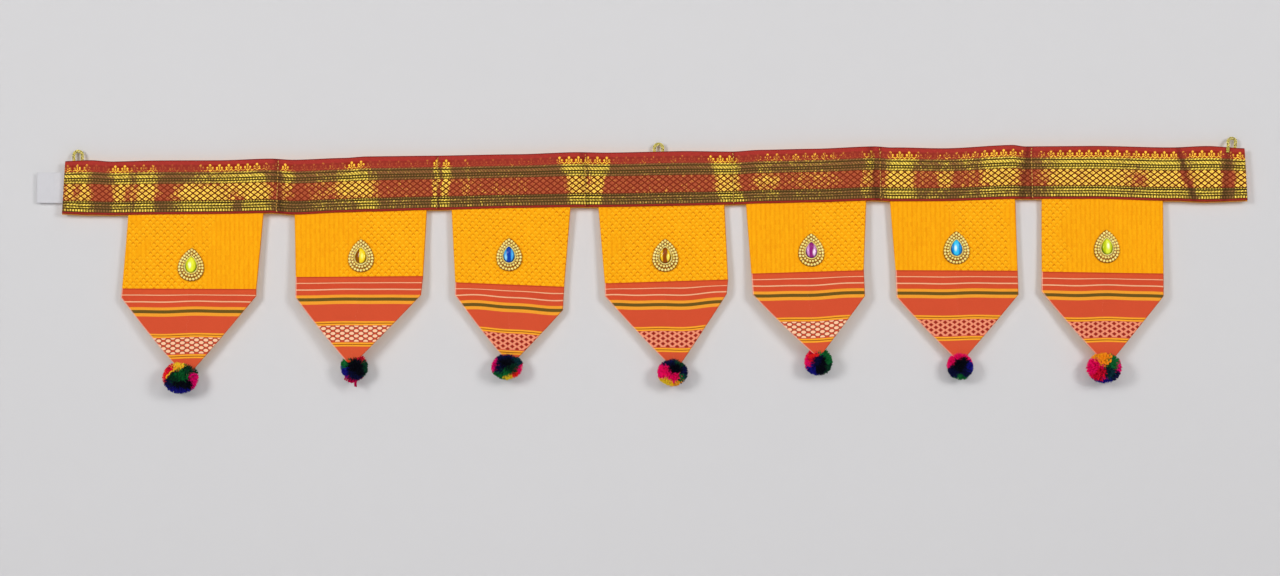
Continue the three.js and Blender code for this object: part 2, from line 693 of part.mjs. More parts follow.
/** One hanging loop of doubled gold cord, its legs sewn behind the lining. */
function buildLoop(parent, loop) {
  const route = loopRoute(loop);
  const outline = cordOutline();
  const positions = [];
  route.forEach((point, k) => {
    const before = route[Math.max(k - 1, 0)];
    const after = route[Math.min(k + 1, route.length - 1)];
    const run = Math.hypot(after.x - before.x, after.z - before.z);
    const outward = [-(after.z - before.z) / run, (after.x - before.x) / run];
    for (const [across, depth] of outline) {
      const x = point.x + outward[0] * across;
      const z = point.z + outward[1] * across;
      const leanShift = -loop.lean * THREE.MathUtils.clamp(-z / LEGS_ASIDE_BELOW, 0, 1);
      const onCloth = THREE.MathUtils.smoothstep(-z, 0, LEGS_ON_CLOTH_BELOW);
      const legY = drape(loop.x + x, loop.z + z) * onCloth;
      const y = loop.crossed ? crossedY(point.x, point.z) : 0;
      positions.push(loop.x + x + leanShift, y + legY + depth, loop.z + z);
    }
  });
  const count = outline.length;
  const last = route.length - 1;
  const ring = (k, m) => k * count + (m % count);
  const faces = [];
  for (let k = 0; k < last; k += 1) {
    for (let m = 0; m < count; m += 1) {
      faces.push(ring(k, m), ring(k + 1, m + 1), ring(k, m + 1));
      faces.push(ring(k, m), ring(k + 1, m), ring(k + 1, m + 1));
    }
  }
  for (let m = 1; m < count - 1; m += 1) {
    faces.push(ring(0, 0), ring(0, m), ring(0, m + 1));
    faces.push(ring(last, 0), ring(last, m + 1), ring(last, m));
  }
  const geometry = new THREE.BufferGeometry();
  geometry.setAttribute("position", new THREE.Float32BufferAttribute(positions, 3));
  geometry.setIndex(faces);
  geometry.computeVertexNormals();
  addMesh(parent, `loop_${loop.name}`, geometry, MATERIALS.cord);
}

buildBand(group);
buildLining(group);
buildLabel(group);
for (const loop of LOOPS) {
  buildLoop(group, loop);
}
FLAPS.forEach((flap, index) => {
  const unit = new THREE.Group();
  group.add(unit);
  const flapMesh = addMesh(unit, `flap_${index + 1}`, flapGeometry(flap, 0), MATERIALS.flap);
  flapMesh.updateMatrixWorld(true);
  buildBrooch(unit, flap, flapMesh, index + 1);
  buildPompom(unit, flap, index + 1);
});

export default group;
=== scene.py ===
"""Toran door hanging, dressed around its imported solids.

A woven border band with a plain lining hangs on three loops of doubled gold cord.
Seven pointed flaps hang below it, and each carries a beaded brooch and a yarn pompom.
Sizes in the tables are millimetres in the part's own frame: +X along the band to the
right, -Y towards the viewer and +Z up. Meshes are made in metres.
"""

import logging
import math
from dataclasses import dataclass
from enum import Enum
from typing import Any, Sequence, Union

import bmesh
import bpy
import numpy as np
from mathutils import Matrix, Vector


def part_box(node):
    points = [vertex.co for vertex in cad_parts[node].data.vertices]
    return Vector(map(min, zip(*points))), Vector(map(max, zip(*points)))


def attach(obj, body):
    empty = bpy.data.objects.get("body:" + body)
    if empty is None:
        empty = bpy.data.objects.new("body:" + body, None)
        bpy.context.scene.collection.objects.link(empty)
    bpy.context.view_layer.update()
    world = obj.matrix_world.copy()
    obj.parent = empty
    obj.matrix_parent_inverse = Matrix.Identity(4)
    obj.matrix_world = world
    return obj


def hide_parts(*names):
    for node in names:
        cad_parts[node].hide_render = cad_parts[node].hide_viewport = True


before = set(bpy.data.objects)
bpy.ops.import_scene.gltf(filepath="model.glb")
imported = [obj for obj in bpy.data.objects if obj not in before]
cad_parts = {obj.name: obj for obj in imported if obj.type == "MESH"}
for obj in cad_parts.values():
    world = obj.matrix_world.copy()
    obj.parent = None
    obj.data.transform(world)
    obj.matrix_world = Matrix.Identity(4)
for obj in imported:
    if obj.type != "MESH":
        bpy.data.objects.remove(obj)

log = logging.getLogger("toran")

MM = 0.001
BODY = "root"
EXPOSURE = 1.1
TURN = 2 * math.pi

Array = np.ndarray
Point2 = tuple[float, float]
Triple = tuple[float, float, float]
Colour = Triple
Stripes = tuple[tuple[float, Colour], ...]
BpyObject = bpy.types.Object
Material = bpy.types.Material
Node = bpy.types.Node
Socket = bpy.types.NodeSocket
Tree = bpy.types.NodeTree


# Numbers


def smooth(value: Array, low: float = 0.0, high: float = 1.0) -> Array:
    """Smooth step from 0 at low to 1 at high."""
    t = np.clip((value - low) / (high - low), 0.0, 1.0)
    return t * t * (3 - 2 * t)


def lerp(a: Any, b: Any, t: Any) -> Any:
    """The value a share t of the way from a to b."""
    return a + (b - a) * t


def xyz(x: Array, y: Array, z: Array) -> Array:
    """Points from their three coordinates."""
    return np.stack([x, y, z], axis=-1)


def unit(rows: Array) -> Array:
    """Rows scaled to a length of 1."""
    return rows / np.linalg.norm(rows, axis=1)[:, None]


def seen(red: float, green: float, blue: float) -> tuple[float, float, float, float]:
    """Base colour that shows as an sRGB colour of 0 to 255 in this scene's light."""
    linear = [
        c / 12.92 if c <= 0.04045 else ((c + 0.055) / 1.055) ** 2.4
        for c in (red / 255, green / 255, blue / 255)
    ]
    return (*(min(c / EXPOSURE, 0.96) for c in linear), 1.0)


# How the cloth hangs


@dataclass(frozen=True)
class Wave:
    """One sine wave along the band: length and height in mm, phase in radians."""

    length: float
    height: float
    phase: float

    def at(self, x: Array) -> Array:
        """Height of the wave at x."""
        return self.height * np.sin(TURN * x / self.length + self.phase)


@dataclass(frozen=True)
class Hang:
    """How far the hung cloth stands in from, or out of, its flat plane."""

    ripples: tuple[Wave, ...] = (Wave(236, 0.8, 0.6), Wave(97, 0.4, 2.1), Wave(53, 0.2, 4.0))
    cockles: tuple[Wave, ...] = (Wave(310, 0.7, 1.1), Wave(121, 0.4, 3.3))
    seams: tuple[float, ...] = (-342, -199, -66, 67, 199, 335)
    seam_depth: float = 0.6
    seam_half_width: float = 4.0
    middle_z: float = -31.0
    height: float = 49.0

    def waves(self, table: Sequence[Wave], x: Array) -> Array:
        """Sum of a table's waves at x, less their sum at 0."""
        return sum(wave.at(x) - wave.at(np.zeros(1)) for wave in table)

    def drape(self, x: Array, z: Array) -> Array:
        """Offset of the cloth along Y at points near the band.

        Args:
            x: Places along the band in mm.
            z: Heights in mm.

        Returns:
            Offsets in mm, positive towards the wall.
        """
        y = self.waves(self.ripples, x)
        for seam in self.seams:
            y = y + self.seam_depth * np.exp(-(((x - seam) / self.seam_half_width) ** 2))
        below = (self.middle_z - z) / self.height
        return y + self.waves(self.cockles, x) * (below - self.middle_z / self.height)


HANG = Hang()

LINING_THICKNESS = 1.0
BAND_THICKNESS = 1.6
FLAP_THICKNESS = 1.4
LABEL_THICKNESS = 1.0
SEAT_GAP = 0.3
STRAND_DIAMETER = 1.15
STRAND_PITCH = 1.05
LINING_Y = -(STRAND_DIAMETER / 2 + SEAT_GAP + LINING_THICKNESS / 2)
BAND_Y = LINING_Y - LINING_THICKNESS / 2 - SEAT_GAP - BAND_THICKNESS / 2
FLAP_TOP_Y = BAND_Y + BAND_THICKNESS / 2 + SEAT_GAP + FLAP_THICKNESS / 2
WALL_Y = 4.6


@dataclass(frozen=True)
class Margin:
    """How far a layer ends below the band's top, above its hem and past its ends."""

    top: float = 0.0
    low: float = 0.0
    ends: float = 0.0


@dataclass(frozen=True)
class BandForm:
    """Outline of the border band and the layers that lie behind it.

    The lining steps back between two heights above its hem. Rows of edges are x and the
    heights of the top and lower edges there.
    """

    left: Point2 = (-533.7, -537.2)
    right: Point2 = (527.0, 529.0)
    pattern_height: float = 48.0
    step_back_from: float = 24.0
    step_back_to: float = 14.0
    edges: tuple[Triple, ...] = (
        (-540, -8.6, -55.6), (-512, -7.8, -56.8), (-491, -9.2, -57.3), (-455, -8.7, -57.2),
        (-393, -9.1, -57.3), (-350, -8.2, -57.0), (-328, -9.5, -58.7), (-284, -8.3, -57.2),
        (-262, -7.2, -56.8), (-205, -7.1, -55.9), (-125, -6.7, -55.0), (-75, -5.5, -54.8),
        (-46, -6.2, -55.1), (21, -5.5, -54.6), (66, -6.4, -54.0), (91, -5.2, -53.3),
        (140, -4.8, -53.0), (194, -3.2, -51.9), (210, -4.4, -52.8), (258, -5.6, -53.1),
        (318, -3.3, -51.7), (330, -4.8, -52.0), (385, -5.0, -52.5), (463, -7.1, -55.1),
        (492, -6.2, -56.4), (532, -8.8, -55.6),
    )

    @property
    def length(self) -> float:
        """Length of the band's top edge."""
        return self.right[0] - self.left[0]

    def edge(self, column: int, x: Array) -> Array:
        """Height of an edge of the band.

        Args:
            column: 1 for the top edge, 2 for the lower one.
            x: Places along the band.

        Returns:
            The edge's heights there.
        """
        table = np.array(self.edges)
        i = np.clip(np.searchsorted(table[:, 0], x) - 1, 0, len(table) - 2)
        t = smooth((x - table[i, 0]) / (table[i + 1, 0] - table[i, 0]))
        return lerp(table[i, column], table[i + 1, column], t)

    def points(self, share: Array, down: Array, margin: Margin) -> tuple[Array, Array, Array]:
        """Places on the band's plane.

        Args:
            share: Shares of the band's length.
            down: Shares of its height from the top.
            margin: How far the layer ends from the band's own outline.

        Returns:
            The x and z of each place and the layer's height there, in mm.
        """
        x_top, x_low = (
            lerp(self.left[k] - margin.ends, self.right[k] + margin.ends, share) for k in (0, 1)
        )
        top = self.edge(1, x_top) - margin.top
        low = self.edge(2, x_low) - margin.low
        return lerp(x_top, x_low, down), lerp(top, low, down), top - low

    def lining_y(self, x: Array, z: Array, above_hem: Array) -> Array:
        """Middle of the lining, which steps back over the flaps' tucked tops.

        Args:
            x: Places along the band.
            z: Heights.
            above_hem: Heights above the lining's hem.

        Returns:
            The lining's depths there.
        """
        reach = self.step_back_from - self.step_back_to
        share = np.clip((self.step_back_from - above_hem) / reach, 0, 1)
        return LINING_Y + (FLAP_THICKNESS + SEAT_GAP) * share + HANG.drape(x, z)


BAND = BandForm()
LINING_MARGIN = Margin(1.2, 0.9, 0.6)


# Meshes


def new_object(name: str, mesh: bpy.types.Mesh) -> BpyObject:
    """Put a mesh into the scene, at the origin.

    Args:
        name: The object's name.
        mesh: The mesh.

    Returns:
        The new object.
    """
    made = bpy.data.objects.new(name, mesh)
    bpy.context.scene.collection.objects.link(made)
    return made


def mesh_object(
    name: str,
    points: Array,
    faces: Sequence[Sequence[int]],
    materials: Sequence[Material],
    slots: Sequence[int] = (),
) -> BpyObject:
    """Smooth-shaded object from points in mm.

    Args:
        name: The object's name.
        points: Rows of x, y and z in mm.
        faces: Point numbers of each face, anticlockwise from outside.
        materials: The materials of the object's slots.
        slots: The slot number of each face; all 0 when left out.

    Returns:
        The new object.
    """
    mesh = bpy.data.meshes.new(name)
    mesh.from_pydata((np.asarray(points, float) * MM).tolist(), [], faces)
    for material in materials:
        mesh.materials.append(material)
    mesh.polygons.foreach_set("use_smooth", [True] * len(mesh.polygons))
    if len(slots):
        mesh.polygons.foreach_set("material_index", list(slots))
    mesh.update()
    return new_object(name, mesh)


def line_object(name: str, paths: Sequence[Array], closed: bool = False) -> BpyObject:
    """Object of bare edges, for a node tree to grow from.

    Args:
        name: The object's name.
        paths: Rows of points in mm, one table for each line.
        closed: Whether each line runs back to its start.

    Returns:
        The new object.
    """
    points: list[list[float]] = []
    edges: list[tuple[int, int]] = []
    for path in paths:
        start, count = len(points), len(path)
        points += (np.asarray(path, float) * MM).tolist()
        edges += [(start + k, start + k + 1) for k in range(count - 1)]
        if closed:
            edges.append((start + count - 1, start))
    mesh = bpy.data.meshes.new(name)
    mesh.from_pydata(points, edges, [])
    return new_object(name, mesh)


def set_attribute(made: BpyObject, name: str, values: Array) -> None:
    """Store something at every point of an object's mesh.

    Args:
        made: The object.
        name: The attribute's name.
        values: A number, a vector or a colour for each point.
    """
    width = 1 if values.ndim == 1 else values.shape[1]
    kinds = {1: ("FLOAT", "value"), 3: ("FLOAT_VECTOR", "vector"), 4: ("FLOAT_COLOR", "color")}
    kind, key = kinds[width]
    layer = made.data.attributes.new(name, kind, "POINT")
    layer.data.foreach_set(key, np.ascontiguousarray(values, np.float32).ravel())


def joined(name: str, parts: Sequence[BpyObject]) -> BpyObject:
    """Join objects into the first of them.

    Args:
        name: The joined object's name.
        parts: The objects.

    Returns:
        The joined object.
    """
    first = parts[0]
    with bpy.context.temp_override(
        active_object=first, object=first, selected_objects=parts, selected_editable_objects=parts
    ):
        bpy.ops.object.join()
    first.name = first.data.name = name
    return first


def declare(made: BpyObject, slot: str, *nodes: str) -> BpyObject:
    """Set a finished piece on the part's body.

    Args:
        made: The piece.
        slot: A material slot's name, which is not used.
        nodes: The plain solids that it takes the place of.

    Returns:
        The piece.
    """
    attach(made, BODY)
    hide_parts(*nodes)
    made.data.calc_loop_triangles()
    log.info("%s: %d triangles", made.name, len(made.data.loop_triangles))
    return made


# Distance in mm of a close step from the edge, and the most it may be as a share.
CLOSE_STEPS = ((0.0, 0.0), (0.35, 0.08), (0.8, 0.16), (1.5, 0.24))


def edge_steps(count: int, length: Union[float, Array]) -> Array:
    """Shares across a sheet, packed close at both edges.

    Args:
        count: Number of even cells between the close ones.
        length: Width of the sheet in mm, one number or an array of them.

    Returns:
        Shares from 0 to 1, with one row for each width.
    """
    width = np.atleast_1d(np.asarray(length, float))[:, None]
    near, most = np.array(CLOSE_STEPS).T
    first = np.minimum(near / width, most)
    even = np.linspace(0, 1, count + 1)[1:-1][None, :]
    middle = first[:, -1:] + (1 - 2 * first[:, -1:]) * even
    return np.concatenate([first, middle, 1 - first[:, ::-1]], axis=1)


@dataclass
class Slab:
    """A closed sheet of cloth over a grid of rows and columns.

    Attributes:
        middle: Middle of the cloth, rows by columns by x, y and z in mm.
        thickness: Thickness in mm.
        relief: How far the front stands out beyond that, in mm.
        pattern: Place in the cloth's pattern, rows by columns by three numbers.
        back_relief: How far the back stands out, in mm.
        rim: Shares of the thickness at the three outer rows of points.
    """

    middle: Array
    thickness: float
    relief: Union[float, Array]
    pattern: Array
    back_relief: Union[float, Array] = 0.0
    rim: tuple[float, ...] = (0.35, 0.78, 0.95)

    def taper(self) -> Array:
        """Share of the full thickness at each point, which rounds off the rim."""
        along, across = (np.ones(count) for count in self.middle.shape[:2])
        for k, share in enumerate(self.rim):
            along[[k, -1 - k]] = share
            across[[k, -1 - k]] = share
        return along[:, None] * across[None, :]

    def build(self, name: str, front: Material, back: Material) -> BpyObject:
        """Make the sheet.

        Args:
            name: The object's name.
            front: Material of the front and the rim.
            back: Material of the back.

        Returns:
            The sheet, with its pattern in the attribute "cloth".
        """
        rows, columns = self.middle.shape[:2]
        taper = self.taper()
        half = self.thickness / 2 * taper
        near, far = self.middle.copy(), self.middle.copy()
        near[..., 1] -= half + self.relief * taper
        far[..., 1] += half + self.back_relief * taper
        points = np.concatenate([near.reshape(-1, 3), far.reshape(-1, 3)])
        a = np.arange(rows * columns).reshape(rows, columns)
        b = a + rows * columns
        outside = (
            (a[:-1, :-1], a[1:, :-1], a[1:, 1:], a[:-1, 1:]),
            (a[:-1, 0], b[:-1, 0], b[1:, 0], a[1:, 0]),
            (a[:-1, -1], a[1:, -1], b[1:, -1], b[:-1, -1]),
            (a[0, :-1], a[0, 1:], b[0, 1:], b[0, :-1]),
            (a[-1, :-1], b[-1, :-1], b[-1, 1:], a[-1, 1:]),
        )
        inside = (b[:-1, :-1], b[:-1, 1:], b[1:, 1:], b[1:, :-1])
        quads = [np.stack([c.ravel() for c in corners], axis=1) for corners in (*outside, inside)]
        faces = np.concatenate(quads)
        slots = np.arange(len(faces)) >= len(faces) - len(quads[-1])
        made = mesh_object(name, points, faces.tolist(), (front, back), slots.astype(int))
        pattern = self.pattern.reshape(-1, 3)
        set_attribute(made, "cloth", np.concatenate([pattern, pattern]))
        return made

    def flat_area(self) -> float:
        """Area of the cloth's middle in square metres."""
        across = self.middle[:-1, 1:] - self.middle[1:, :-1]
        other = self.middle[1:, 1:] - self.middle[:-1, :-1]
        return float(np.linalg.norm(np.cross(across, other), axis=-1).sum() / 2) * MM * MM


# Node trees


class Graph:
    """Writes the nodes of one tree."""

    def __init__(self, tree: Tree) -> None:
        """Hold the tree."""
        self.tree = tree

    def fill(self, socket: Socket, value: Any) -> None:
        """Give an input a value.

        Args:
            socket: The input.
            value: A field, a node's first output, a socket or a plain value.
        """
        if isinstance(value, Field):
            value = value.socket
        elif isinstance(value, Node):
            value = value.outputs[0]
        if isinstance(value, Socket):
            self.tree.links.new(value, socket)
        else:
            socket.default_value = value

    def node(self, kind: str, *terms: Any, **named: Any) -> Node:
        """Add a node.

        Args:
            kind: The node's type.
            terms: Values of its first inputs.
            named: Values of other inputs, by their names with _ for a space, and values of the
                node's own properties, whose names start in lower case.

        Returns:
            The node.
        """
        made = self.tree.nodes.new(kind)
        inputs = {key: value for key, value in named.items() if key[0].isupper()}
        for key, value in named.items():
            if key not in inputs:
                setattr(made, key, value)
        for number, value in enumerate(terms):
            self.fill(made.inputs[number], value)
        for key, value in inputs.items():
            self.fill(made.inputs[key.replace("_", " ")], value)
        return made

    def math(self, operation: str, *terms: "Number") -> "Field":
        """Result of a Math node."""
        return Field(self, self.node("ShaderNodeMath", *terms, operation=operation).outputs[0])


class Field:
    """A number that varies over a mesh, worked out by Math nodes."""

    def __init__(self, graph: Graph, socket: Socket) -> None:
        """Hold the socket that carries the number."""
        self.graph = graph
        self.socket = socket

    def __add__(self, other: "Number") -> "Field":
        """Sum."""
        return self.graph.math("ADD", self, other)

    def __sub__(self, other: "Number") -> "Field":
        """Difference."""
        return self.graph.math("SUBTRACT", self, other)

    def __rsub__(self, other: "Number") -> "Field":
        """Difference from a plain number."""
        return self.graph.math("SUBTRACT", other, self)

    def __mul__(self, other: "Number") -> "Field":
        """Product."""
        return self.graph.math("MULTIPLY", self, other)

    def __truediv__(self, other: "Number") -> "Field":
        """Quotient."""
        return self.graph.math("DIVIDE", self, other)

    def size(self) -> "Field":
        """Size without sign."""
        return self.graph.math("ABSOLUTE", self)

    def sine(self) -> "Field":
        """Sine."""
        return self.graph.math("SINE", self)

    def root(self) -> "Field":
        """Square root."""
        return self.graph.math("SQRT", self)

    def most(self, other: "Number") -> "Field":
        """The greater of the two."""
        return self.graph.math("MAXIMUM", self, other)

    def rise(self, low: float, high: float) -> "Field":
        """Smooth step from 0 at low to 1 at high."""
        made = self.graph.node(
            "ShaderNodeMapRange",
            Value=self, From_Min=low, From_Max=high, interpolation_type="SMOOTHSTEP",
        )
        return Field(self.graph, made.outputs[0])

    def fall(self, low: float, high: float) -> "Field":
        """Smooth step from 1 at low to 0 at high."""
        return 1.0 - self.rise(low, high)

    def within(self, low: float, high: float, soft: float = 0.15) -> "Field":
        """1 between two values and 0 outside them."""
        return self.rise(low - soft, low + soft) * self.fall(high - soft, high + soft)

    def cell(self, period: float) -> "Field":
        """Offset from the middle of the nearest of the cells that repeat."""
        return (self.graph.math("FRACT", self * (1 / period)) - 0.5) * period

    def twill(self, other: "Field", slope: float, period: float) -> "Field":
        """Wave from 0 to 1 of slanting threads, or of straight ones where slope is 0."""
        wave = ((self + other * slope) * (TURN / period)).sine()
        return wave.rise(-0.45, 0.55)

    def off_lattice(self, other: "Field", pitch: Point2) -> tuple["Field", "Field"]:
        """Offsets from the nearest point of a staggered lattice.

        Args:
            other: The place across this one.
            pitch: Spacing of the lattice this way and that way.

        Returns:
            Offsets along the lattice's two slants, in shares of the pitch.
        """
        a, b = self * (1 / pitch[0]), other * (1 / pitch[1])
        p, q = a + b, a - b
        return p - self.graph.math("ROUND", p), q - self.graph.math("ROUND", q)

    def from_lattice(self, other: "Field", pitch: Point2) -> tuple["Field", "Field"]:
        """The same offsets this way and that way, in mm."""
        p, q = self.off_lattice(other, pitch)
        return (p + q) * (pitch[0] / 2), (p - q) * (pitch[1] / 2)


Number = Union[float, Field]


# Node trees that grow small repeated things


class Growth(Graph):
    """Writes one Geometry Nodes tree."""

    def __init__(self, name: str) -> None:
        """Start a tree with a geometry input and output."""
        super().__init__(bpy.data.node_groups.new(name, "GeometryNodeTree"))
        for way in ("INPUT", "OUTPUT"):
            self.tree.interface.new_socket(
                "Geometry", in_out=way, socket_type="NodeSocketGeometry"
            )
        self.entry = self.node("NodeGroupInput")

    def size(self, name: str, default: Any, kind: str = "Float") -> Field:
        """Add a named input.

        Args:
            name: The input's name.
            default: Its value when none is given, or None.
            kind: What it holds.

        Returns:
            The input's value inside the tree.
        """
        item = self.tree.interface.new_socket(
            name, in_out="INPUT", socket_type=f"NodeSocket{kind}"
        )
        if default is not None:
            item.default_value = default
        return Field(self, self.entry.outputs[name])

    def curve(self) -> Node:
        """The source's lines."""
        return self.node("GeometryNodeMeshToCurve", self.entry)

    def vector(self, operation: str, *terms: Any, **named: Any) -> Node:
        """Vector Math node."""
        return self.node("ShaderNodeVectorMath", *terms, operation=operation, **named)

    def plant(self, points: Node, piece: Node, **named: Any) -> Tree:
        """End in copies of a piece that stand at points."""
        placed = self.node("GeometryNodeInstanceOnPoints", Points=points, Instance=piece, **named)
        return self.finish(placed)

    def finish(self, geometry: Node) -> Tree:
        """End in real, smooth mesh of one material.

        Args:
            geometry: Node that gives the geometry.

        Returns:
            The tree, with the input Material.
        """
        material = self.size("Material", None, "Material")
        real = self.node("GeometryNodeRealizeInstances", geometry)
        shaded = self.node("GeometryNodeSetShadeSmooth", real)
        painted = self.node("GeometryNodeSetMaterial", shaded, Material=material)
        self.node("NodeGroupOutput", painted)
        return self.tree


def bead_tree() -> Tree:
    """Round beads spaced evenly along lines, with inputs Count and Radius."""
    tree = Growth("bead_row")
    count, radius = tree.size("Count", 24, "Int"), tree.size("Radius", 1 * MM)
    row = tree.node("GeometryNodeCurveToPoints", tree.curve(), Count=count, mode="COUNT")
    return tree.plant(row, tree.node("GeometryNodeMeshUVSphere", 12, 8, radius))


def stitch_tree() -> Tree:
    """Stitches like grains along lines, with inputs Pitch, Thickness and Length."""
    tree = Growth("stitch_row")
    pitch, thickness = tree.size("Pitch", 3 * MM), tree.size("Thickness", 0.5 * MM)
    length = tree.size("Length", 2.2 * MM)
    row = tree.node("GeometryNodeCurveToPoints", tree.curve(), Length=pitch, mode="LENGTH")
    grain = tree.node("GeometryNodeMeshUVSphere", 8, 6, 0.5)
    scale = tree.node("ShaderNodeCombineXYZ", thickness, thickness, length)
    return tree.plant(row, grain, Rotation=row.outputs["Rotation"], Scale=scale)


def cord_tree(plies: int) -> Tree:
    """Cord of twisted plies along lines.

    Args:
        plies: How many plies are twisted together.

    Returns:
        The tree, with inputs Twist, Offset, Radius and Step in metres.
    """
    tree = Growth(f"twisted_cord_{plies}")
    twist, offset = tree.size("Twist", 2 * MM), tree.size("Offset", 0.3 * MM)
    radius, step = tree.size("Radius", 0.3 * MM), tree.size("Step", 0.2 * MM)
    line = tree.node("GeometryNodeResampleCurve", tree.curve(), Length=step, mode="LENGTH")
    run = Field(tree, tree.node("GeometryNodeSplineParameter").outputs["Length"])
    turn = run * TURN / twist
    normal = tree.node("GeometryNodeInputNormal")
    side = tree.vector("CROSS_PRODUCT", tree.node("GeometryNodeInputTangent"), normal)
    ring = tree.node("GeometryNodeCurvePrimitiveCircle", Resolution=7, Radius=radius)
    merge = tree.node("GeometryNodeJoinGeometry")
    for ply in range(plies):
        angle = turn + TURN * ply / plies
        out = tree.vector("SCALE", normal, Scale=tree.math("COSINE", angle) * offset)
        over = tree.vector("SCALE", side, Scale=angle.sine() * offset)
        shift = tree.vector("ADD", out, over)
        moved = tree.node("GeometryNodeSetPosition", line, Offset=shift)
        swept = tree.node(
            "GeometryNodeCurveToMesh", moved, Profile_Curve=ring, Fill_Caps=True
        )
        tree.fill(merge.inputs[0], swept)
    return tree.finish(merge)


def yarn_tree() -> Tree:
    """Cut yarn ends that stand all over a ball where its attribute "cover" is 1."""
    tree = Growth("yarn_ends")
    density, length = tree.size("Density", 1.0e6), tree.size("Length", 4 * MM)
    base, end = tree.size("Base", 0.5 * MM), tree.size("End", 0.3 * MM)
    lean, seed = tree.size("Lean", 0.35), tree.size("Seed", 1, "Int")
    cover = tree.node("GeometryNodeInputNamedAttribute", "cover", data_type="FLOAT")
    covered = tree.node("FunctionNodeCompare", cover, 0.5, data_type="FLOAT")
    roots = tree.node(
        "GeometryNodeDistributePointsOnFaces",
        tree.entry, Selection=covered, Density=density, Seed=seed,
    )
    lock = tree.node(
        "GeometryNodeMeshCone",
        Vertices=3, Side_Segments=2, Radius_Top=end, Radius_Bottom=base, Depth=length,
    )
    back = lean * -1.0
    low = tree.node("ShaderNodeCombineXYZ", back, back, -3.0)
    high = tree.node("ShaderNodeCombineXYZ", lean, lean, 3.0)
    random = {"kind": "FunctionNodeRandomValue", "Seed": seed, "data_type": "FLOAT_VECTOR"}
    euler = tree.node("FunctionNodeEulerToRotation", tree.node(**random, Min=low, Max=high))
    rotation = tree.node(
        "FunctionNodeRotateRotation", roots.outputs["Rotation"], euler, rotation_space="LOCAL"
    )
    scale = tree.node(**random, Min=(0.75, 0.75, 0.72), Max=(1.25, 1.25, 1.12))
    return tree.plant(roots, lock, Rotation=rotation, Scale=scale)


def grown(name: str, source: BpyObject, tree: Tree, values: dict[str, Any]) -> BpyObject:
    """Run a node tree on an object and keep its result as a plain mesh.

    Args:
        name: Name of the result.
        source: The object that the tree starts from, which is used up.
        tree: The node tree.
        values: A value for each named input.

    Returns:
        The result as an object of plain mesh.
    """
    modifier = source.modifiers.new("grow", "NODES")
    modifier.node_group = tree
    for item in tree.interface.items_tree:
        if item.item_type == "SOCKET" and item.in_out == "INPUT" and item.name in values:
            modifier[item.identifier] = values[item.name]
    graph = bpy.context.evaluated_depsgraph_get()
    graph.update()
    mesh = bpy.data.meshes.new_from_object(source.evaluated_get(graph), depsgraph=graph)
    source.modifiers.clear()
    bpy.data.objects.remove(source)
    mesh.name = name
    return new_object(name, mesh)


# Finishes


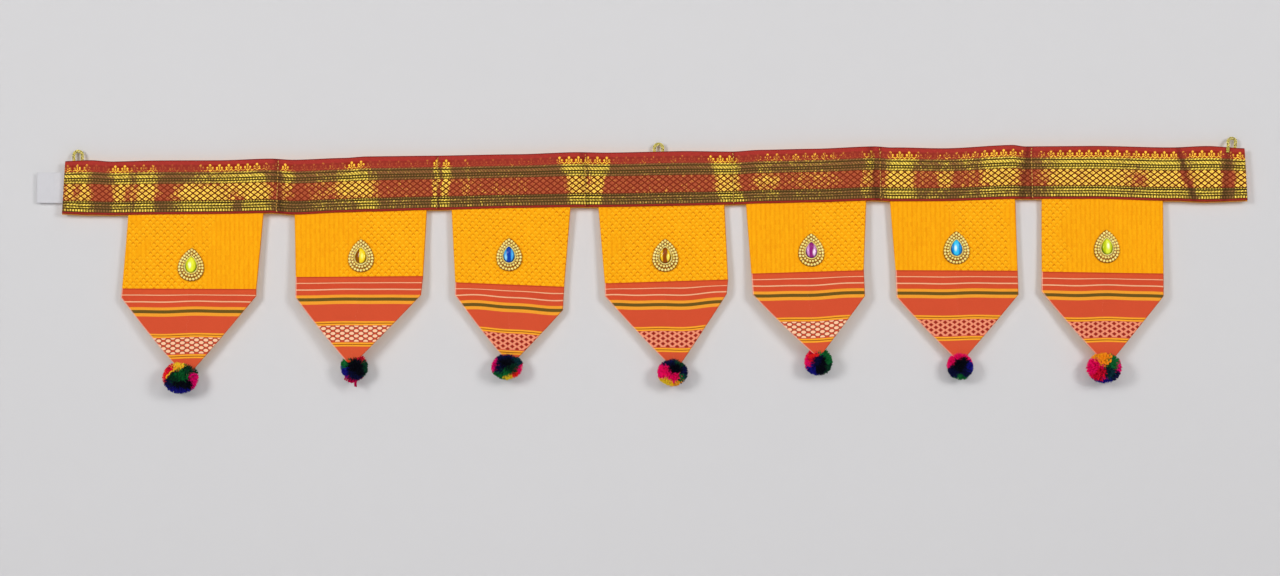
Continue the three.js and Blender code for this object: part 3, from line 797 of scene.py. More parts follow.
class Pen(Graph):
    """Writes the nodes of one material."""

    def __init__(self, name: str) -> None:
        """Start a material without nodes."""
        self.material = bpy.data.materials.new(name)
        self.material.use_nodes = True
        super().__init__(self.material.node_tree)
        self.tree.nodes.clear()

    def attribute(self, name: str, output: str = "Vector") -> Socket:
        """Value of one of the mesh's attributes."""
        return self.node("ShaderNodeAttribute", attribute_name=name).outputs[output]

    def place(self, name: str) -> tuple[Field, Field, Field]:
        """The three numbers of a vector attribute."""
        return self.split(self.attribute(name))

    def split(self, vector: Socket) -> tuple[Field, Field, Field]:
        """The three numbers of a vector."""
        parts = self.node("ShaderNodeSeparateXYZ", vector).outputs
        return tuple(Field(self, socket) for socket in parts)

    def object_place(self) -> Socket:
        """Place in the object's own frame, in metres."""
        return self.node("ShaderNodeTexCoord").outputs["Object"]

    def noise(self, vector: Socket, scale: float, detail: float = 2.0) -> Field:
        """Cloudy noise about 0.5."""
        made = self.node("ShaderNodeTexNoise", Vector=vector, Scale=scale, Detail=detail)
        return Field(self, made.outputs["Fac"])

    def speckle(self, x: Field, y: Field, grain: float) -> Field:
        """A random number for each small square of the surface.

        Args:
            x: Place across.
            y: Place down.
            grain: Size of the squares.

        Returns:
            Numbers spread evenly from 0 to 1.
        """
        cells = (self.math("FLOOR", place * (1 / grain)) for place in (x, y))
        cell = self.node("ShaderNodeCombineXYZ", *cells)
        made = self.node("ShaderNodeTexWhiteNoise", Vector=cell, noise_dimensions="2D")
        return Field(self, made.outputs["Value"])

    def mix(self, share: Number, a: Any, b: Any) -> Socket:
        """Mix two colours.

        Args:
            share: Share of the way from a to b.
            a: One colour.
            b: The other.

        Returns:
            The mixed colour.
        """
        made = self.node("ShaderNodeMix", share, data_type="RGBA")
        first, second = (s for s in made.inputs if s.type == "RGBA")
        self.fill(first, a)
        self.fill(second, b)
        return next(s for s in made.outputs if s.type == "RGBA")

    def shade(self, colour: Any, brightness: Number) -> Socket:
        """Colour made brighter or darker."""
        return self.node("ShaderNodeHueSaturation", Color=colour, Value=brightness).outputs[0]

    def stripes(self, where: Field, length: float, table: Stripes) -> Socket:
        """Colour of the stripe at a place.

        Args:
            where: Place across the stripes.
            length: Length that the table covers.
            table: Where each stripe starts and its sRGB colour.

        Returns:
            The socket that carries the colour.
        """
        made = self.node("ShaderNodeValToRGB", where * (1 / length))
        ramp = made.color_ramp
        ramp.interpolation = "CONSTANT"
        for number, (start, colour) in enumerate(table):
            at = start / length
            element = ramp.elements[number] if number < 2 else ramp.elements.new(at)
            element.position = at
            element.color = seen(*colour)
        return made.outputs[0]

    def surface(self, colour: Any, relief: Any = None, depth: float = 0.0, **sizes: Any) -> Material:
        """End the material in one shader.

        Args:
            colour: Base colour.
            relief: Height field, 0 to 1, or None.
            depth: Height of the relief in mm.
            sizes: Other inputs of the shader, with _ for a space.

        Returns:
            The finished material.
        """
        if relief is not None:
            sizes["Normal"] = self.node("ShaderNodeBump", Distance=depth * MM, Height=relief)
        shader = self.node("ShaderNodeBsdfPrincipled", colour, **sizes)
        self.node("ShaderNodeOutputMaterial", shader)
        return self.material


class Thread(Enum):
    """How the threads of a woven cord lie: slant, pitch in mm and how much they vary."""

    ROPE = (1.0, 2.9, 0.6)
    COUNTER = (-1.0, 2.9, 0.6)
    SEEDS = (0.0, 2.5, 0.8)


@dataclass(frozen=True)
class ZariCloth:
    """Border cloth: maroon ground with woven gold and green figures.

    Heights are mm below the band's top edge, on the pattern's own height. Rows of leaf are a
    lobe's x, height and radius, and rows of cord_rows a thread and where it starts and ends.
    """

    leaf_pitch: float = 8.5
    leaf: tuple[Triple, ...] = (
        (0, 4.7, 1.05), (-2.2, 6.8, 0.9), (2.2, 6.8, 0.9), (0, 6.4, 0.4),
    )
    stalk: Point2 = (7.0, 8.4)
    zigzag_pitch: float = 4.25
    zigzag_top: float = 8.3
    zigzag_height: float = 1.5
    cord_rows: tuple[tuple[Thread, float, float], ...] = (
        (Thread.ROPE, 10.4, 11.7), (Thread.COUNTER, 12.9, 15.5), (Thread.SEEDS, 16.7, 17.8),
        (Thread.ROPE, 18.9, 20.3), (Thread.SEEDS, 36.7, 37.4), (Thread.ROPE, 38.7, 40.2),
        (Thread.COUNTER, 41.3, 42.4), (Thread.SEEDS, 43.5, 45.5),
    )
    lattice_pitch: Point2 = (6.5, 4.9)
    lattice_rows: Point2 = (20.9, 35.9)
    # The first row of each ground table, 0 to 0.7 mm, is painted shade along the band's folded top edge.
    dull_ground: Stripes = (
        (0.0, (120, 32, 28)), (0.7, (168, 52, 44)), (4.0, (150, 50, 38)), (10.3, (78, 58, 24)),
        (20.7, (126, 44, 24)), (36.1, (74, 56, 24)), (46.0, (146, 42, 34)),
    )
    # The highlight tables are the zari's colours under a painted highlight, gold figure on a darker
    # ground; the dull tables are the zari where none is painted.
    highlight_ground: Stripes = (
        (0.0, (120, 32, 28)), (0.7, (168, 52, 42)), (4.0, (146, 40, 24)), (10.3, (56, 42, 6)),
        (20.7, (88, 16, 0)), (36.1, (46, 34, 4)), (46.0, (148, 44, 34)),
    )
    dull_figure: Stripes = (
        (0.0, (168, 66, 44)), (10.3, (146, 96, 56)), (20.7, (176, 82, 50)), (36.1, (142, 98, 56)),
    )
    highlight_figure: Stripes = (
        (0.0, (255, 196, 62)), (10.3, (250, 214, 84)), (20.7, (255, 204, 80)),
        (36.1, (250, 214, 84)),
    )

    def leaves(self, along: Field, down: Field) -> Field:
        """Row of three-lobed leaves under the top edge.

        Args:
            along: Place along the band.
            down: Height on the pattern.

        Returns:
            1 on a leaf and 0 beside it.
        """
        across = along.cell(self.leaf_pitch)
        figure: Number = 0.0
        for x, z, radius in self.leaf:
            dx, dz = across - x, down - z
            figure = (dx * dx + dz * dz).root().fall(radius - 0.2, radius + 0.3).most(figure)
        return figure.most(across.size().fall(0.25, 0.7) * down.within(*self.stalk))

    def zigzag(self, along: Field, down: Field) -> Field:
        """Fine zigzag line below the leaves.

        Args:
            along: Place along the band.
            down: Height on the pattern.

        Returns:
            1 on the line and 0 beside it.
        """
        slope = 2 * self.zigzag_height / self.zigzag_pitch
        line = along.cell(self.zigzag_pitch).size() * slope + self.zigzag_top
        return (down - line).size().fall(0.3, 0.7)

    def cords(self, along: Field, down: Field) -> Field:
        """The two bands of twilled gold cords.

        Args:
            along: Place along the band.
            down: Height on the pattern.

        Returns:
            1 on a cord's threads and less between them.
        """
        threads = {}
        for thread in Thread:
            slant, pitch, swing = thread.value
            threads[thread] = along.twill(down, slant, pitch) * swing + (1 - swing)
        figure: Number = 0.0
        for thread, start, end in self.cord_rows:
            figure = (threads[thread] * down.within(start, end)).most(figure)
        return figure

    def lattice(self, along: Field, down: Field) -> Field:
        """Diamond rings that fill the middle of the band.

        Args:
            along: Place along the band.
            down: Height on the pattern.

        Returns:
            1 on a ring, less in its eye and 0 between the rings.
        """
        p, q = along.off_lattice(down, self.lattice_pitch)
        reach = p.size().most(q.size()) * 2.0
        ring = (reach.rise(0.06, 0.22) * 0.6 + 0.4) * reach.fall(0.64, 0.8)
        return ring * down.within(*self.lattice_rows)

    def make(self) -> Material:
        """Build the material."""
        pen = Pen("zari_border_cloth")
        along, down, fold_depth_and_shade = pen.place("cloth")
        place = pen.attribute("cloth")
        # Painted highlight: a mask from the patch table, broken up by noise and flecks, marks where the
        # zari is coloured as if it caught the light.
        highlight_mask = Field(pen, pen.attribute("highlight_mask", "Fac"))
        grain = pen.speckle(along, down, 0.9) - 0.5
        flake = pen.speckle(along, down, 2.3) - 0.5
        drift = pen.noise(place, 0.16, 3.0) - 0.5
        light = (highlight_mask + drift * 0.5 + flake * 0.22 + grain * 0.5).rise(0.2, 0.82)
        figure = self.leaves(along, down).most(self.zigzag(along, down))
        figure = figure.most(self.cords(along, down)).most(self.lattice(along, down))
        # Unlit and painted-highlight copies of the zari, mixed by the painted highlight share.
        dull, bright = (
            pen.mix(figure, *(pen.stripes(down, BAND.pattern_height, rows) for rows in pair))
            for pair in (
                (self.dull_ground, self.dull_figure),
                (self.highlight_ground, self.highlight_figure),
            )
        )
        gilt = figure * light
        cloudy = (pen.noise(place, 0.06) - 0.5) * 0.16
        # Painted glints: random flecks, strongest on the gold under the painted highlight.
        glint = grain * (gilt * 0.75 + 0.14)
        # Painted shade darkens the seam folds and creases, more where the fold is deeper.
        colour = pen.shade(pen.mix(light, dull, bright), cloudy + glint + 1.04 - fold_depth_and_shade * 0.42)
        weave = along.twill(down, 0.0, 0.55) * down.twill(along, 0.0, 0.5)
        return pen.surface(
            colour, figure * 0.7 + weave * 0.3, 0.16,
            Roughness=gilt * -0.2 + 0.7, Metallic=gilt * 0.2, Specular_IOR_Level=0.05,
        )


class DotStyle(Enum):
    """How the dotted stripe of a flap reads."""

    PALE_DOTS = "pale dots on red"
    DARK_SPOTS = "dark spots on pink"


@dataclass(frozen=True)
class FlapCloth:
    """Flap cloth: yellow self-figured field and a striped red end.

    Places are mm across the flap and mm below the line where the yellow ends. The small
    figures are clear about figured_at, a middle and a half width.
    """

    number: int
    dots: DotStyle
    wobble: float
    figured_at: Point2
    reach: float = 92.0
    dotted: Point2 = (44.2, 58.6)
    rib_pitch: float = 4.2
    tick_pitch: Point2 = (6.3, 5.8)
    dot_pitch: Point2 = (8.4, 4.65)
    yellow: Colour = (255, 175, 12)
    rib: Colour = (242, 150, 2)
    tick: Colour = (208, 104, 0)
    # Colour of the painted highlight beside the woven ticks.
    painted_highlight: Colour = (255, 200, 40)
    # The first stripe, 0 to 0.8 mm, is a painted shadow along the line where the yellow ends.
    stripes: Stripes = (
        (0.0, (192, 62, 34)), (0.8, (214, 82, 46)), (5.1, (236, 180, 138)), (6.0, (210, 76, 46)),
        (11.0, (236, 180, 138)), (11.9, (212, 78, 44)), (16.4, (242, 158, 46)),
        (18.8, (106, 82, 30)), (21.8, (242, 158, 46)), (24.5, (211, 80, 48)), (40.1, (246, 166, 44)),
        (41.6, (150, 70, 22)), (42.4, (246, 166, 44)), (43.7, (206, 74, 58)),
        (59.2, (246, 166, 44)), (60.5, (150, 70, 22)), (61.4, (246, 166, 44)),
        (62.6, (214, 84, 50)),
    )

    def field_colour(self, pen: Pen, u: Field, v: Field) -> tuple[Socket, Field, Field]:
        """Yellow ground with ribs, small woven ticks that come and go, and a painted highlight beside
        each tick.

        Args:
            pen: Writer of the material.
            u: Place across the flap.
            v: Place down it.

        Returns:
            The colour, the ticks and the ribs.
        """
        middle, half = self.figured_at
        drift = (pen.noise(pen.attribute("cloth"), 1 / 26, 1.0) - 0.5) * 2.4
        shown = (drift + 1.0 - (u - middle).size() * (1 / half)).rise(-0.2, 0.45)
        ribs = (u * (TURN / self.rib_pitch)).sine().rise(-0.3, 1.0)
        dx, dy = u.from_lattice(v, self.tick_pitch)
        sloped = dy - dx.size() * 0.9
        near = dx.size().fall(1.2, 1.9)
        uneven = pen.speckle(u, v, 3.1) * 0.85 + 0.15
        tick = (sloped + 0.9).size().fall(0.35, 0.85) * near * uneven
        # Painted highlight: a lighter stroke beside each woven tick.
        painted_highlight = (sloped - 0.6).size().fall(0.3, 0.8) * near
        fleck = pen.speckle(u, v * 0.3, 1.3)
        ribbed = ribs * (shown * -0.2 + 0.4) + fleck * (shown * -0.2 + 0.45)
        ground = pen.mix(ribbed, seen(*self.yellow), seen(*self.rib))
        ground = pen.mix(painted_highlight * (shown * 0.6 + 0.08), ground, seen(*self.painted_highlight))
        return pen.mix(tick * (shown * 0.8 + 0.06), ground, seen(*self.tick)), tick, ribs

    def end_colour(self, pen: Pen, u: Field, v: Field) -> Socket:
        """Striped red end with its band of dots.

        Args:
            pen: Writer of the material.
            u: Place across the flap.
            v: Place down it.

        Returns:
            The colour.
        """
        dx, dy = u.from_lattice(v, self.dot_pitch)
        if self.dots is DotStyle.PALE_DOTS:
            reach = (dx * dx * 0.24 + dy * dy * 0.62).root()
            ringed = pen.mix(reach.fall(0.98, 1.16), seen(150, 44, 26), seen(252, 204, 164))
            dotted = pen.mix(reach.fall(1.25, 1.5), seen(208, 74, 48), ringed)
        else:
            reach = dx.size() * 0.62 + (dy + 0.25).size() * 0.75
            dotted = pen.mix(reach.fall(1.1, 1.55), seen(240, 146, 112), seen(156, 40, 30))
        return pen.mix(v.within(*self.dotted), pen.stripes(v, self.reach, self.stripes), dotted)

    def make(self) -> Material:
        """Build the material."""
        pen = Pen(f"flap_cloth_{self.number}")
        u, v, side = pen.place("cloth")
        wander = (u * 0.056 + self.number).sine() * 0.9 + (u * 0.135 + self.number * 2).sine() * 0.4
        bent = v + wander * v.rise(2.0, 10.0) * self.wobble
        yellow, tick, ribs = self.field_colour(pen, u, v)
        end = v.rise(-0.12, 0.12)
        colour = pen.mix(end, yellow, self.end_colour(pen, u, bent))
        # Painted highlight along the flap's left edges and painted shade along its right edges.
        left = side.rise(-1.3, -0.6) * side.fall(-0.02, 0.02)
        right = side.fall(0.2, 0.9) * side.rise(-0.02, 0.02)
        colour = pen.mix(left * 0.65 * end, colour, seen(252, 190, 168))
        colour = pen.mix(right * 0.6, colour, seen(176, 70, 20))
        cloudy = (pen.noise(pen.attribute("cloth"), 1 / 40) - 0.5) * 0.08
        colour = pen.shade(colour, cloudy + (pen.speckle(u, v, 0.5) - 0.5) * 0.05 + 1.0)
        weave = u.twill(v, 0.0, 0.62) * v.twill(u, 0.0, 0.5)
        slub = (ribs * 0.5 + tick * 0.35) * (1.0 - end)
        return pen.surface(
            colour, weave * 0.35 + slub, 0.11, Roughness=0.7, Specular_IOR_Level=0.05
        )


@dataclass(frozen=True)
class PlainCloth:
    """Plain woven cloth in one colour, with an uneven thread."""

    name: str
    colour: Colour
    thread: float = 0.6

    def make(self) -> Material:
        """Build the material."""
        pen = Pen(self.name)
        place = pen.object_place()
        x, _, z = (part * (1 / MM) for part in pen.split(place))
        weave = x.twill(z, 0.0, self.thread) * z.twill(x, 0.0, self.thread)
        cloudy = (pen.noise(place, 60.0) - 0.5) * 0.14
        threads = (pen.speckle(x, z, self.thread) - 0.5) * 0.1
        colour = pen.shade(seen(*self.colour), cloudy + threads + 1.0)
        return pen.surface(colour, weave, 0.08, Roughness=0.85, Specular_IOR_Level=0.05)


@dataclass(frozen=True)
class Metal:
    """Gilt metal or thread in a bright and a dull tone.

    Mottle is a noise's scale and the values between which the dull tone comes in. Rough is
    the bright tone's roughness and what the dull one adds.
    """

    name: str
    bright: Colour
    dull: Colour
    metallic: float
    mottle: Triple = (900.0, 0.35, 0.7)
    grain: float = 2500.0
    rough: Point2 = (0.22, 0.15)
    gloss: float = 0.5
    tint: Colour = (1.0, 0.84, 0.4)

    def make(self) -> Material:
        """Build the material."""
        pen = Pen(self.name)
        place = pen.object_place()
        scale, low, high = self.mottle
        patina = pen.noise(place, scale, 3.0).rise(low, high)
        colour = pen.mix(patina, seen(*self.bright), seen(*self.dull))
        return pen.surface(
            colour, pen.noise(place, self.grain), 0.05,
            Metallic=self.metallic, Roughness=patina * self.rough[1] + self.rough[0],
            Specular_IOR_Level=self.gloss, Specular_Tint=(*self.tint, 1.0),
        )


@dataclass(frozen=True)
class MetallicThread(Metal):
    """Fine metallic thread or cord."""

    mottle: Triple = (1100.0, 0.4, 0.6)
    grain: float = 3500.0
    rough: Point2 = (0.45, 0.0)
    gloss: float = 0.25
    tint: Colour = (1.0, 0.9, 0.5)


@dataclass(frozen=True)
class DropStone:
    """Polished foil-backed drop: one colour down the middle, another at the sides, a painted highlight
    and a rim of painted shade.

    Attributes:
        number: Number of the flap that carries it.
        middle: Colour of the streak down the stone.
        side: Colour at its sides, lighter than the middle where reflections of the lamps are painted and
            darker where shade is painted.
        edge: Colour of its rim, painted shade.
        shift: How far right of the centre the streak runs, in half widths.
        painted_highlight: Place of the painted highlight in half sizes, and its colour.
    """

    number: int
    middle: Colour
    side: Colour
    edge: Colour
    shift: float
    painted_highlight: tuple[float, float, Colour]

    def make(self) -> Material:
        """Build the material."""
        pen = Pen(f"drop_stone_{self.number}")
        x, z, _ = pen.place("drop")
        # Painted reflections and shade across the dome: the side colour takes over away from the middle
        # streak.
        across = (x - self.shift).size().rise(0.2, 0.62)
        cloud = (pen.noise(pen.attribute("drop"), 1.7) - 0.5) * 0.25
        colour = pen.mix((across + cloud).rise(0.15, 0.85), seen(*self.middle), seen(*self.side))
        # Painted highlight spot.
        highlight_x, highlight_z, highlight_colour = self.painted_highlight
        dx, dz = (x - highlight_x) * 2.6, (z - highlight_z) * 1.7
        colour = pen.mix((dx * dx + dz * dz).root().fall(0.15, 0.95), colour, seen(*highlight_colour))
        # Painted shade towards the rim.
        reach = (x * x + z * z * 0.9).root()
        colour = pen.mix(reach.rise(0.74, 1.0), colour, seen(*self.edge))
        return pen.surface(
            colour, Roughness=0.3, Specular_IOR_Level=0.05, Coat_Weight=0.2, Coat_Roughness=0.03
        )


@dataclass(frozen=True)
class YarnPile:
    """Acrylic yarn, coloured strand by strand."""

    name: str = "pompom_yarn"

    def make(self) -> Material:
        """Build the material."""
        pen = Pen(self.name)
        place = pen.object_place()
        fuzz = (pen.noise(place, 1800.0, 3.0) - 0.5) * 0.35
        colour = pen.shade(pen.attribute("yarn", "Color"), fuzz + 1.0)
        return pen.surface(
            colour, pen.noise(place, 3000.0), 0.12, Roughness=0.9, Specular_IOR_Level=0.06
        )


@dataclass(frozen=True)
class SatinTape:
    """Plain white satin tape, bare of any print."""

    colour: Colour = (208, 207, 211)

    def make(self) -> Material:
        """Build the material."""
        pen = Pen("label_satin")
        across, down, _ = pen.place("cloth")
        ribs = down.twill(across, 0.0, 0.45)
        cloudy = (pen.noise(pen.attribute("cloth"), 0.25) - 0.5) * 0.05
        colour = pen.shade(seen(*self.colour), cloudy + ribs * 0.03 + 0.98)
        return pen.surface(colour, ribs, 0.04, Roughness=0.5, Specular_IOR_Level=0.15)


# Sub-assemblies


@dataclass(frozen=True)
class Patch:
    """A place where a highlight is painted on the zari, or painted shade where a share is below 0.

    Attributes:
        x: Middle of the patch along the band in mm.
        half: Half its width in mm.
        slant: How far its foot lies to the right of its head in mm.
        shares: Strength on the leaves, the upper cords, the lattice and the lower cords.
    """

    x: float
    half: float
    slant: float
    shares: tuple[float, float, float, float]


# Columns: x, half, slant, leaves, upper cords, lattice, lower cords.
PATCH_ROWS = (
    (-523, 11.7, 0, 0.55, 0.8, 0.75, 0.8), (-523, 3.6, -8, 0, 0, -0.6, 0),
    (-483, 9.0, 0, 0.95, 0.75, 0.85, 0.8), (-478, 3.6, -6, 0, 0, -0.6, -0.4),
    (-462, 9.5, 0, 0.4, 0.8, 0.9, 0.9), (-409, 24.3, 0, 0, 0.25, 0.95, 0.95),
    (-399, 18.0, 0, 0, 0.65, 0, 0), (-382, 27.9, 0, 1, 0, 0, 0),
    (-366, 14.4, 6, 0, 0.9, 0.95, 0.9), (-384, 14.0, 0, 0, 0.8, 0.62, 0),
    (-379, 4.5, 0, 0, 0, 0, -0.6), (-335, 5.4, 0, 0.7, 0.6, 0.55, 0.2),
    (-303, 11.7, 0, 0.12, 0.3, 0.35, 0.3), (-273, 17.1, 0, 0, 0.85, 0.9, 0.5),
    (-273, 9.9, 0, 1, 0, 0, 0), (-263, 9.5, 0, 0, 0, 0.2, 0.95),
    (-278, 4.5, 0, 0, 0, 0, -0.4), (-231, 19.8, 0, 0.1, 0.1, 0.16, 0.28),
    (-201, 2.7, 0, 0.8, 0.7, 0.7, 0.9), (-192, 3.6, 0, 0.9, 1, 1, 1),
    (-173, 3.6, 0, 0.2, 0.3, 0.35, 0.3), (-126, 6.3, 0, 0, 0, 0.1, 0.35),
    (-150, 40.0, 0, 0.05, 0.1, 0.2, 0.26), (0, 52.0, 0, 0.1, 0.12, 0.1, 0.24),
    (-74, 9.9, 14, 0.95, 0.9, 0.9, 0.95), (-55, 7.2, -11, 0.95, 0.9, 0.9, 0.9),
    (-65, 9.0, 0, 0.6, 0.6, 0, 0.5), (61, 11.7, 11, 0.9, 0.9, 0.75, 0.85),
    (98, 11.7, -7, 0.45, 0.3, 0.62, 0.35), (138, 27.0, 0, 0.45, 0.25, 0.32, 0.25),
    (188, 5.4, 0, 0.5, 0.5, 0.55, 0.4), (218, 12.6, -5, 1, 1, 0.92, 0.95),
    (242, 9.9, 0, 0.2, 0.32, 0.25, 0.35), (257, 7.2, -5, 0.35, 0.35, 0.75, 0.3),
    (278, 10.8, 0, 0.5, 0.4, 0.25, 0.4), (307, 18.9, 0, 0.8, 0.75, 0.88, 0.6),
    (388, 39.6, 0, 0.95, 0.85, 0.95, 0.9), (378, 5.4, 0, 0, 0, -0.25, 0),
    (449, 25.0, 8, 0.95, 0.9, 0.92, 0.85), (434, 6.3, 0, 0, 0, -0.7, 0),
    (493, 15.5, 5, 0.95, 0.9, 0.9, 0.8), (523, 6.3, 0, 0.8, 0.7, 0.88, 0.8),
    (474, 2.3, 14, -1, -1, -1, -1), (511, 4.4, -4, 0, -0.9, -1, -1),
)


@dataclass
class Band:
    """The border band, its lining and the stitching that holds them.

    Rows of creases are x at a crease's head, x at its foot and its half width. The shares of
    a patch hold at zone_heights on the pattern.
    """

    columns: int = 480
    rows: int = 26
    seam_groove: float = 0.42
    seam_half: float = 1.3
    creases: tuple[Triple, ...] = (
        (467.0, 481.0, 2.0), (513.0, 508.0, 2.2), (-343.6, -340.0, 2.4), (190.5, 196.0, 2.6),
        (332.0, 326.5, 2.6), (-69.0, -64.0, 1.6),
    )
    highlight_swell: float = 0.3
    zone_heights: tuple[float, ...] = (6.0, 16.3, 28.5, 41.0)
    seam_steps: int = 30
    row_steps: int = 400
    row_places: Point2 = (0.07, 0.93)
    patches: tuple[Patch, ...] = tuple(Patch(*row[:3], row[3:]) for row in PATCH_ROWS)

    def highlight_mask(self, x: Array, down: Array) -> Array:
        """How strongly a highlight is painted on the zari at places of the band, less where shade is
        painted.

        Args:
            x: Places along the band in mm.
            down: Mm below the top edge on the pattern's height.

        Returns:
            Strengths from 0 to 1.
        """
        shine, shadow = np.full(x.shape, 0.06), np.zeros(x.shape)
        sway = 1.3 * np.sin(down * 0.13 + x * 0.05) + 0.5 * np.sin(down * 0.4 - x * 0.11)
        for patch in self.patches:
            middle = patch.x + patch.slant * (down / BAND.pattern_height - 0.5)
            reach = np.abs(x + sway - middle) / patch.half
            spread = 1 - smooth(reach, 0.4, 1.6)
            strength = np.interp(down, self.zone_heights, patch.shares) * spread
            shine = np.maximum(shine, strength)
            shadow = np.maximum(shadow, -strength)
        return np.clip(shine * (1 - shadow), 0, 1)

    def folds(self, x: Array, down: Array) -> Array:
        """How deep the folds at the seams and creases are, which also sets the painted shade in them.

        Args:
            x: Places along the band in mm.
            down: Shares of its height from the top.

        Returns:
            Depths from 0 to 1.
        """
        fold_depth_and_shade = np.zeros_like(x)
        seams = ((seam, seam, self.seam_half) for seam in HANG.seams)
        for top, low, half in (*seams, *self.creases):
            off = x - lerp(top, low, down)
            fold_depth_and_shade = np.maximum(fold_depth_and_shade, np.exp(-((off / half) ** 2)))
        return fold_depth_and_shade

    def grid(self, margin: Margin) -> tuple[Array, Array, Array, Array]:
        """Grid of a layer.

        Args:
            margin: How far the layer ends from the band's outline.

        Returns:
            The x, z, share of the height from the top, and height in mm.
        """
        share = edge_steps(self.columns, BAND.length)
        down = edge_steps(self.rows, BAND.pattern_height).T
        x, z, height = BAND.points(share, down, margin)
        return x, z, np.broadcast_to(down, x.shape), np.broadcast_to(height, x.shape)

    def build_front(self, front: Material, back: Material) -> BpyObject:
        """Make the woven border band.

        Args:
            front: Material of its front.
            back: Material of its back.

        Returns:
            The band.
        """
        x, z, down, _ = self.grid(Margin())
        t = down * BAND.pattern_height
        shine, fold_depth_and_shade = self.highlight_mask(x, t), self.folds(x, down)
        relief = self.highlight_swell * (shine - 0.3) - self.seam_groove * fold_depth_and_shade
        relief = relief * smooth(t, 0, 3) * smooth(BAND.pattern_height - t, 0, 3)
        middle = xyz(x, BAND_Y + HANG.drape(x, z), z)
        # The pattern's third number carries the fold depth, which the cloth paints as shade.
        slab = Slab(middle, BAND_THICKNESS, relief, xyz(x, t, fold_depth_and_shade))
        made = slab.build("border_band", front, back)
        # The painted-highlight mask goes to the cloth's shader as an attribute.
        set_attribute(made, "highlight_mask", np.tile(shine.ravel(), 2))
        declare(made, "zari_band", "band")
        slab.flat_area()
        return made

    def build_lining(self, material: Material) -> BpyObject:
        """Make the plain lining behind the band.

        Args:
            material: Material of both its faces.

        Returns:
            The lining.
        """
        x, z, down, height = self.grid(LINING_MARGIN)
        middle = xyz(x, BAND.lining_y(x, z, (1 - down) * height), z)
        slab = Slab(middle, LINING_THICKNESS, 0.0, xyz(x, down * height, np.zeros_like(x)))
        made = slab.build("band_backing", material, material)
        declare(made, "lining_cloth", "band_lining")
        slab.flat_area()
        return made

    def build_stitches(self, thread: Material, plain: Material) -> None:
        """Sew gold chain stitches down the seams and plain rows along the back.

        Args:
            thread: Material of the gold thread.
            plain: Material of the plain one.
        """
        tree, seams, rows = stitch_tree(), [], []
        steps = np.arange(self.seam_steps)
        for seam in HANG.seams:
            share = np.full(len(steps), (seam - BAND.left[0]) / BAND.length)
            x, z, _ = BAND.points(share, np.linspace(0.05, 0.96, len(steps)), Margin())
            sway = 0.35 * np.sin(steps * 2.1 + seam)
            front = BAND_Y + HANG.drape(x, z) - BAND_THICKNESS / 2
            seams.append(xyz(x + sway, front + self.seam_groove - 0.12, z))
        values = {"Pitch": 2.9 * MM, "Thickness": 0.8 * MM, "Length": 2.2 * MM, "Material": thread}
        declare(grown("seam_stitches", line_object("seams", seams), tree, values), "zari_band")
        for down in self.row_places:
            share = np.linspace(0.006, 0.994, self.row_steps)
            x, z, height = BAND.points(share, np.full(self.row_steps, down), LINING_MARGIN)
            y = BAND.lining_y(x, z, (1 - down) * height) + LINING_THICKNESS / 2 + 0.02
            rows.append(xyz(x, y, z))
        values = {"Pitch": 3.2 * MM, "Thickness": 0.4 * MM, "Length": 2.3 * MM, "Material": plain}
        declare(grown("backing_stitches", line_object("rows", rows), tree, values), "lining_cloth")


@dataclass
class Label:
    """The bare tape label sewn behind the band's left end.

    Corners are the ends of its top edge and of its lower one. A crease is its place, half
    width and height.
    """

    corners: tuple[tuple[Point2, Point2], ...] = (
        ((-560.4, -18.1), (-531.0, -18.6)), ((-561.0, -45.6), (-531.0, -46.2)),
    )
    size: Point2 = (29.6, 27.6)
    cells: int = 20
    upright_crease: Triple = (-545.0, 2.2, 0.18)
    level_crease: Triple = (-32.0, 9.0, 0.12)

    def build(self, satin: Material) -> BpyObject:
        """Make the label.

        Args:
            satin: Material of both its faces.

        Returns:
            The label.
        """
        across, down = (edge_steps(self.cells, length) for length in self.size)
        top, low = (lerp(*np.array(ends), across[..., None]) for ends in self.corners)
        plane = lerp(top, low, down.T[..., None])
        x, z = plane[..., 0], plane[..., 1]
        stand = (LINING_THICKNESS + LABEL_THICKNESS) / 2 + SEAT_GAP
        y = BAND.lining_y(x, z, np.zeros_like(x)) + stand
        fold = sum(
            high * np.exp(-(((at - middle) / half) ** 2))
            for at, (middle, half, high) in ((x, self.upright_crease), (z, self.level_crease))
        )
        slab = Slab(xyz(x, y, z), LABEL_THICKNESS, fold, xyz(x, -z, np.zeros_like(x)))
        made = slab.build("blank_label", satin, satin)
        declare(made, "label_satin", "side_label")
        return made


